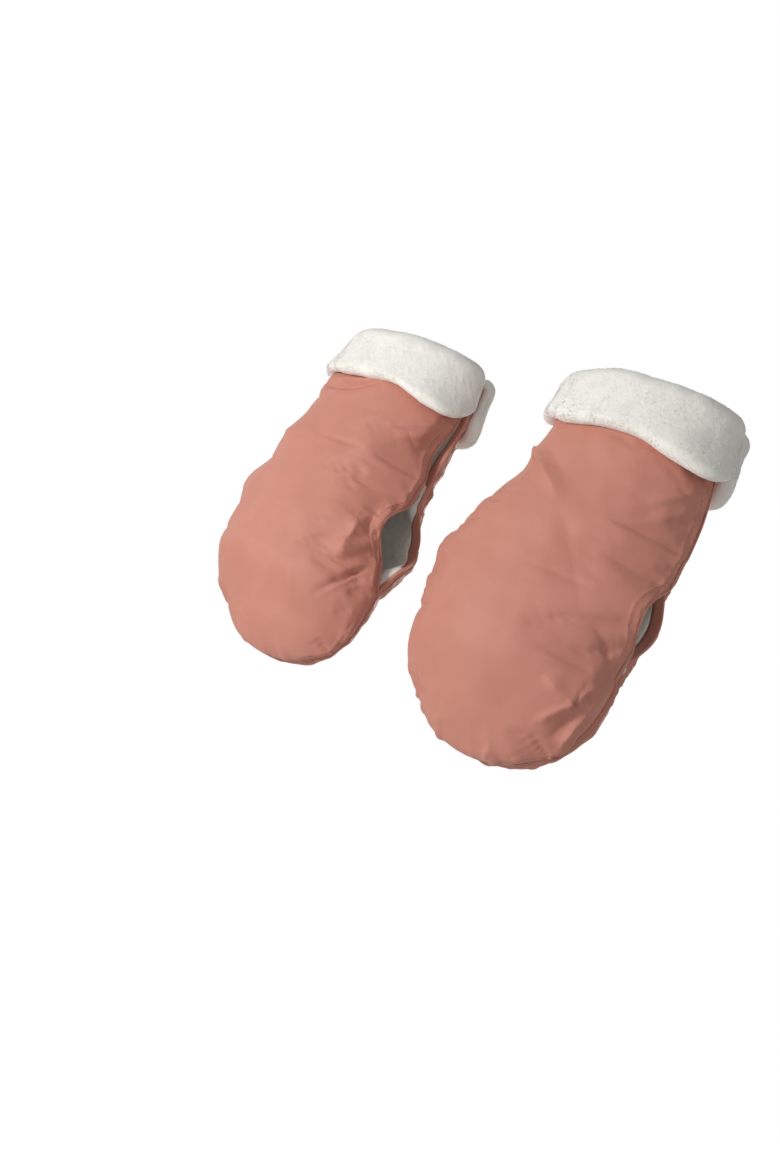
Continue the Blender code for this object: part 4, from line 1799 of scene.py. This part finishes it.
LEFT_OUTLINE = Outline(
    left=((-1.0, 1.03), (-0.5, 1.05), (0.0, 1.04), (0.3, 0.97), (0.5, 0.89), (0.7, 0.84), (1.0, 0.66)),
    right=((-1.0, 1.08), (-0.5, 0.97), (0.0, 0.93), (0.3, 0.93), (0.5, 0.86), (0.7, 0.92), (1.0, 0.88)),
    tip_length=0.084, tip_lean=0.019, right_gape=0.0032)
RIGHT_OUTLINE = Outline(
    left=((-1.0, 1.0), (-0.5, 1.06), (0.0, 1.05), (0.3, 0.95), (0.5, 0.76), (0.7, 0.67), (1.0, 0.65)),
    right=((-1.0, 0.98), (-0.5, 1.0), (0.0, 1.05), (0.3, 1.04), (0.5, 1.02), (0.7, 0.96), (1.0, 0.88)),
    tip_length=0.086, tip_lean=0.007, right_gape=0.0018)
LEFT_FOLDS = (
    Fold((-0.062, 0.108), (-0.015, 0.103), (0.022, 0.118), 0.0056, 0.0022, 0.014, 0.35, 0.05),
    Fold((-0.050, 0.116), (-0.010, 0.112), (0.022, 0.121), -0.0064, 0.006, 0.0040, 0.4, 0.05),
    Fold((0.088, 0.114), (0.059, 0.087), (0.010, 0.079), -0.0040, 0.009, 0.007, 0.03, 0.6),
    Fold((0.084, 0.102), (0.055, 0.067), (0.016, 0.030), -0.0034, 0.010, 0.012, 0.03, 0.6),
    Fold((0.088, 0.012), (0.079, 0.006), (0.066, 0.010), 0.0040, 0.005, 0.004, 0.05, 0.5),
    Fold((0.079, 0.004), (0.080, -0.006), (0.083, -0.016), 0.0030, 0.003, 0.005, 0.2, 0.4),
    Fold((0.074, 0.000), (0.071, -0.022), (0.074, -0.050), -0.0072, 0.012, 0.009, 0.3, 0.3),
    Fold((0.094, -0.026), (0.086, -0.052), (0.062, -0.088), 0.0080, 0.0020, 0.014, 0.02, 0.55),
    Fold((0.094, -0.032), (0.088, -0.057), (0.066, -0.090), -0.0030, 0.004, 0.0016, 0.02, 0.5),
    Fold((0.000, -0.045), (0.003, -0.066), (-0.006, -0.092), -0.0010, 0.005, 0.006, 0.4, 0.4),
    Fold((0.038, -0.068), (0.044, -0.078), (0.049, -0.090), -0.0010, 0.004, 0.005, 0.4, 0.4),
    Fold((-0.085, 0.056), (-0.045, 0.051), (-0.005, 0.054), -0.0030, 0.007, 0.008, 0.05, 0.7),
    Fold((-0.080, -0.098), (-0.060, -0.100), (-0.030, -0.096), -0.0014, 0.007, 0.007, 0.05, 0.6),
)

RIGHT_FOLDS = (
    Fold((-0.060, 0.100), (-0.022, 0.074), (0.008, 0.050), -0.0062, 0.0040, 0.008, 0.02, 0.55),
    Fold((-0.040, 0.098), (-0.016, 0.083), (0.008, 0.064), 0.0018, 0.008, 0.004, 0.3, 0.6),
    Fold((0.095, 0.108), (0.073, 0.080), (0.040, 0.056), -0.0042, 0.007, 0.005, 0.03, 0.6),
    Fold((0.095, 0.099), (0.074, 0.064), (0.034, 0.040), -0.0026, 0.006, 0.008, 0.03, 0.6),
    Fold((0.000, 0.058), (0.042, 0.011), (0.067, -0.028), 0.0018, 0.010, 0.014, 0.4, 0.3),
    Fold((0.058, -0.070), (0.070, -0.077), (0.081, -0.079), -0.0042, 0.003, 0.006, 0.4, 0.05),
    Fold((0.094, -0.056), (0.086, -0.069), (0.081, -0.079), -0.0040, 0.004, 0.003, 0.1, 0.05),
    Fold((0.056, -0.108), (0.070, -0.092), (0.081, -0.079), -0.0042, 0.004, 0.003, 0.5, 0.05),
    Fold((0.096, -0.040), (0.091, -0.058), (0.085, -0.078), 0.0036, 0.003, 0.006, 0.1, 0.2),
    Fold((0.091, -0.066), (0.086, -0.089), (0.076, -0.114), -0.0052, 0.003, 0.002, 0.1, 0.3),
    Fold((0.084, -0.080), (0.078, -0.096), (0.068, -0.112), 0.0030, 0.004, 0.007, 0.2, 0.4),
    Fold((0.100, -0.010), (0.096, -0.022), (0.090, -0.036), -0.0042, 0.0035, 0.0025, 0.05, 0.3),
    Fold((0.068, -0.022), (0.084, -0.034), (0.092, -0.052), 0.0030, 0.003, 0.008, 0.5, 0.1),
    Fold((0.024, -0.146), (0.029, -0.139), (0.033, -0.129), -0.0038, 0.0028, 0.0028, 0.02, 0.5),
    Fold((-0.040, -0.140), (-0.015, -0.128), (0.011, -0.118), -0.0014, 0.006, 0.008, 0.05, 0.6),
)

BACK_FOLDS = (
    Fold((-0.085, 0.060), (-0.050, 0.052), (-0.010, 0.058), -0.0024, 0.007, 0.009, 0.05, 0.6),
    Fold((0.085, 0.076), (0.050, 0.060), (0.012, 0.052), -0.0026, 0.009, 0.007, 0.05, 0.6),
    Fold((0.086, -0.024), (0.070, -0.048), (0.045, -0.074), -0.0014, 0.008, 0.006, 0.05, 0.5),
    Fold((-0.088, -0.030), (-0.068, -0.050), (-0.040, -0.066), 0.0030, 0.006, 0.010, 0.05, 0.5),
    Fold((-0.050, -0.130), (-0.036, -0.112), (-0.026, -0.088), -0.0024, 0.006, 0.005, 0.6, 0.6),
    Fold((0.034, -0.138), (0.030, -0.116), (0.018, -0.094), -0.0022, 0.005, 0.006, 0.6, 0.6),
)

BACK_LOOK = {"overhang": 0.0015, "tip_crown": 0.75, "folds": BACK_FOLDS}
BACK_CUFF = {"depth": 0.052, "right_trim": 0.006, "hem_shares": ((-1.0, 0.9), (1.0, 1.0))}

LOOKS = {
    Side.LEFT: MuffLook(
        outline=LEFT_OUTLINE,
        back_outline=replace(LEFT_OUTLINE, right=(
            (-1.0, 1.0), (-0.7, 1.08), (-0.4, 1.14), (0.0, 1.0), (0.3, 0.95), (0.5, 0.93), (0.7, 0.94),
            (1.0, 0.88))),
        front={"tip_crown": 0.72, "folds": LEFT_FOLDS, "crown_shares": (
            (-1.0, 1.0), (-0.5, 1.0), (0.0, 0.99), (0.3, 0.95), (0.5, 0.89), (0.7, 0.87), (1.0, 0.82))},
        back=BACK_LOOK,
        front_cuff={"depth": 0.043, "thickness": 0.0125, "right_trim": 0.002, "seed": 40,
                    "hem_shares": ((-1.0, 0.8), (-0.3, 1.0), (0.3, 0.97), (1.0, 1.25)),
                    "flare_shares": ((-1.0, 0.0), (0.3, 0.0), (1.0, 0.007))},
        back_cuff={"seed": 60, **BACK_CUFF}),
    Side.RIGHT: MuffLook(
        outline=RIGHT_OUTLINE,
        back_outline=replace(RIGHT_OUTLINE, right=(
            (-1.0, 0.97), (-0.5, 0.97), (0.0, 0.94), (0.3, 0.94), (0.5, 0.94), (0.7, 0.92), (1.0, 0.87))),
        front={"tip_crown": 0.72, "folds": RIGHT_FOLDS, "crown_shares": (
            (-1.0, 1.03), (-0.5, 1.0), (0.0, 0.97), (0.3, 0.9), (0.5, 0.83), (0.7, 0.83), (1.0, 0.84))},
        back=BACK_LOOK,
        front_cuff={"depth": 0.042, "thickness": 0.0130, "right_trim": 0.001, "seed": 80,
                    "hem_shares": ((-1.0, 0.7), (-0.3, 1.0), (0.3, 0.98), (1.0, 1.3)),
                    "flare_shares": ((-1.0, 0.0), (0.3, 0.0), (1.0, 0.005))},
        back_cuff={"seed": 100, **BACK_CUFF}),
}


def report(piece: bpy.types.Object) -> None:
    """Logs a piece's name and size."""
    LOG.info("%s: %d points, %d faces", piece.name, len(piece.data.vertices), len(piece.data.polygons))


# The studio

@dataclass(frozen=True)
class PhotoView:
    """Where the photograph was taken from, and how the camera was held."""

    azimuth: float = 42.3
    elevation: float = -9.1
    roll: float = 29.2
    distance: float = 0.9937
    focal_pixels: float = 1160.68
    film: float = 36.0
    target: tuple[float, float, float] = (-0.0209, 0.0, -0.0429)

    def camera(self) -> None:
        """Sets a camera that looks at the target from the given direction, rolled on its axis."""
        turn, rise, roll = (math.radians(a) for a in (self.azimuth, self.elevation, self.roll))
        back = Vector((math.sin(turn) * math.cos(rise), -math.cos(turn) * math.cos(rise), math.sin(rise)))
        level = (-back).cross(Vector((0, 0, 1))).normalized()
        upright = level.cross(-back)
        right = math.cos(roll) * level + math.sin(roll) * upright
        up = -math.sin(roll) * level + math.cos(roll) * upright
        data = bpy.data.cameras.new("photo_view")
        data.sensor_width = self.film
        data.lens = self.focal_pixels / PHOTO_HEIGHT * self.film
        camera = bpy.data.objects.new("photo_view", data)
        camera.matrix_world = Matrix.Translation(Vector(self.target) + back * self.distance) @ Matrix(
            (right, up, back)).transposed().to_4x4()
        bpy.context.scene.collection.objects.link(camera)
        bpy.context.scene.camera = camera


@dataclass(frozen=True)
class Studio:
    """A pale floor, a white surround and three soft lamps."""

    floor_height: float = -0.85
    floor_size: float = 14.0
    world_strength: float = 0.27

    def build(self) -> None:
        """Sets the floor, the world and the lamps."""
        bpy.context.scene.view_settings.view_transform = "Standard"
        self.floor()
        self.world()
        self.lamp("key", (-0.50, -1.30, -0.16), 0.4, 14.0)
        self.lamp("fill", (2.1, -1.2, 0.2), 1.6, 5.5)
        self.lamp("rear", (-0.9, 1.9, 0.8), 1.6, 34.0)

    def floor(self) -> None:
        """A wide pale floor that shows white where it is lit and keeps the shadow."""
        half = self.floor_size / 2
        corners = np.array([(-half, -half), (half, -half), (half, half), (-half, half)])
        points = np.hstack([corners, np.full((4, 1), self.floor_height)])
        sheet = NodeSheet(bpy.data.materials.new("pale_floor"))
        seen = sheet.add("LightPath").outputs["Is Camera Ray"]
        finish = sheet.surface(
            Base_Color=(0.80, 0.80, 0.79, 1),
            Roughness=0.9,
            Specular_IOR_Level=0.1,
            Emission_Color=(1, 1, 1, 1),
            Emission_Strength=sheet.add("MapRange", Value=seen, To_Min=0.0, To_Max=0.85).outputs["Result"])
        mesh_piece("studio_floor", points, [np.array([[0, 1, 2, 3]])], finish)

    def world(self) -> None:
        """Even light from all round, and white where it is seen itself."""
        world = bpy.data.worlds.new("studio")
        bpy.context.scene.world = world
        sheet = NodeSheet(world)
        rays = sheet.add("LightPath").outputs
        seen = sheet.math("MAXIMUM", rays["Is Camera Ray"], rays["Is Glossy Ray"])
        seen = sheet.math("MAXIMUM", seen, rays["Is Transmission Ray"])
        strength = sheet.add("MapRange", Value=seen, To_Min=self.world_strength, To_Max=1.0)
        sheet.fill(sheet.nodes["Background"], Color=(1, 1, 1, 1), Strength=strength.outputs["Result"])

    def lamp(self, name: str, place: tuple[float, float, float], size: float, power: float) -> None:
        """A square soft lamp that faces the muffs.

        Args:
            name: the lamp's name.
            place: where it hangs.
            size: its side.
            power: its watts.
        """
        data = bpy.data.lights.new(name, "AREA")
        data.size = size
        data.energy = power
        lamp = bpy.data.objects.new(name, data)
        lamp.location = place
        lamp.rotation_euler = (-Vector(place)).to_track_quat("-Z", "Y").to_euler()
        bpy.context.scene.collection.objects.link(lamp)


def main() -> None:
    """Loads the frame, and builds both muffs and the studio."""
    logging.basicConfig(level=logging.INFO, format="%(name)s %(message)s")
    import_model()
    PhotoView().camera()
    finishes = Finishes()
    for side in Side:
        Muff(side).dress(finishes)
    Studio().build()


if __name__ == "__main__":
    main()
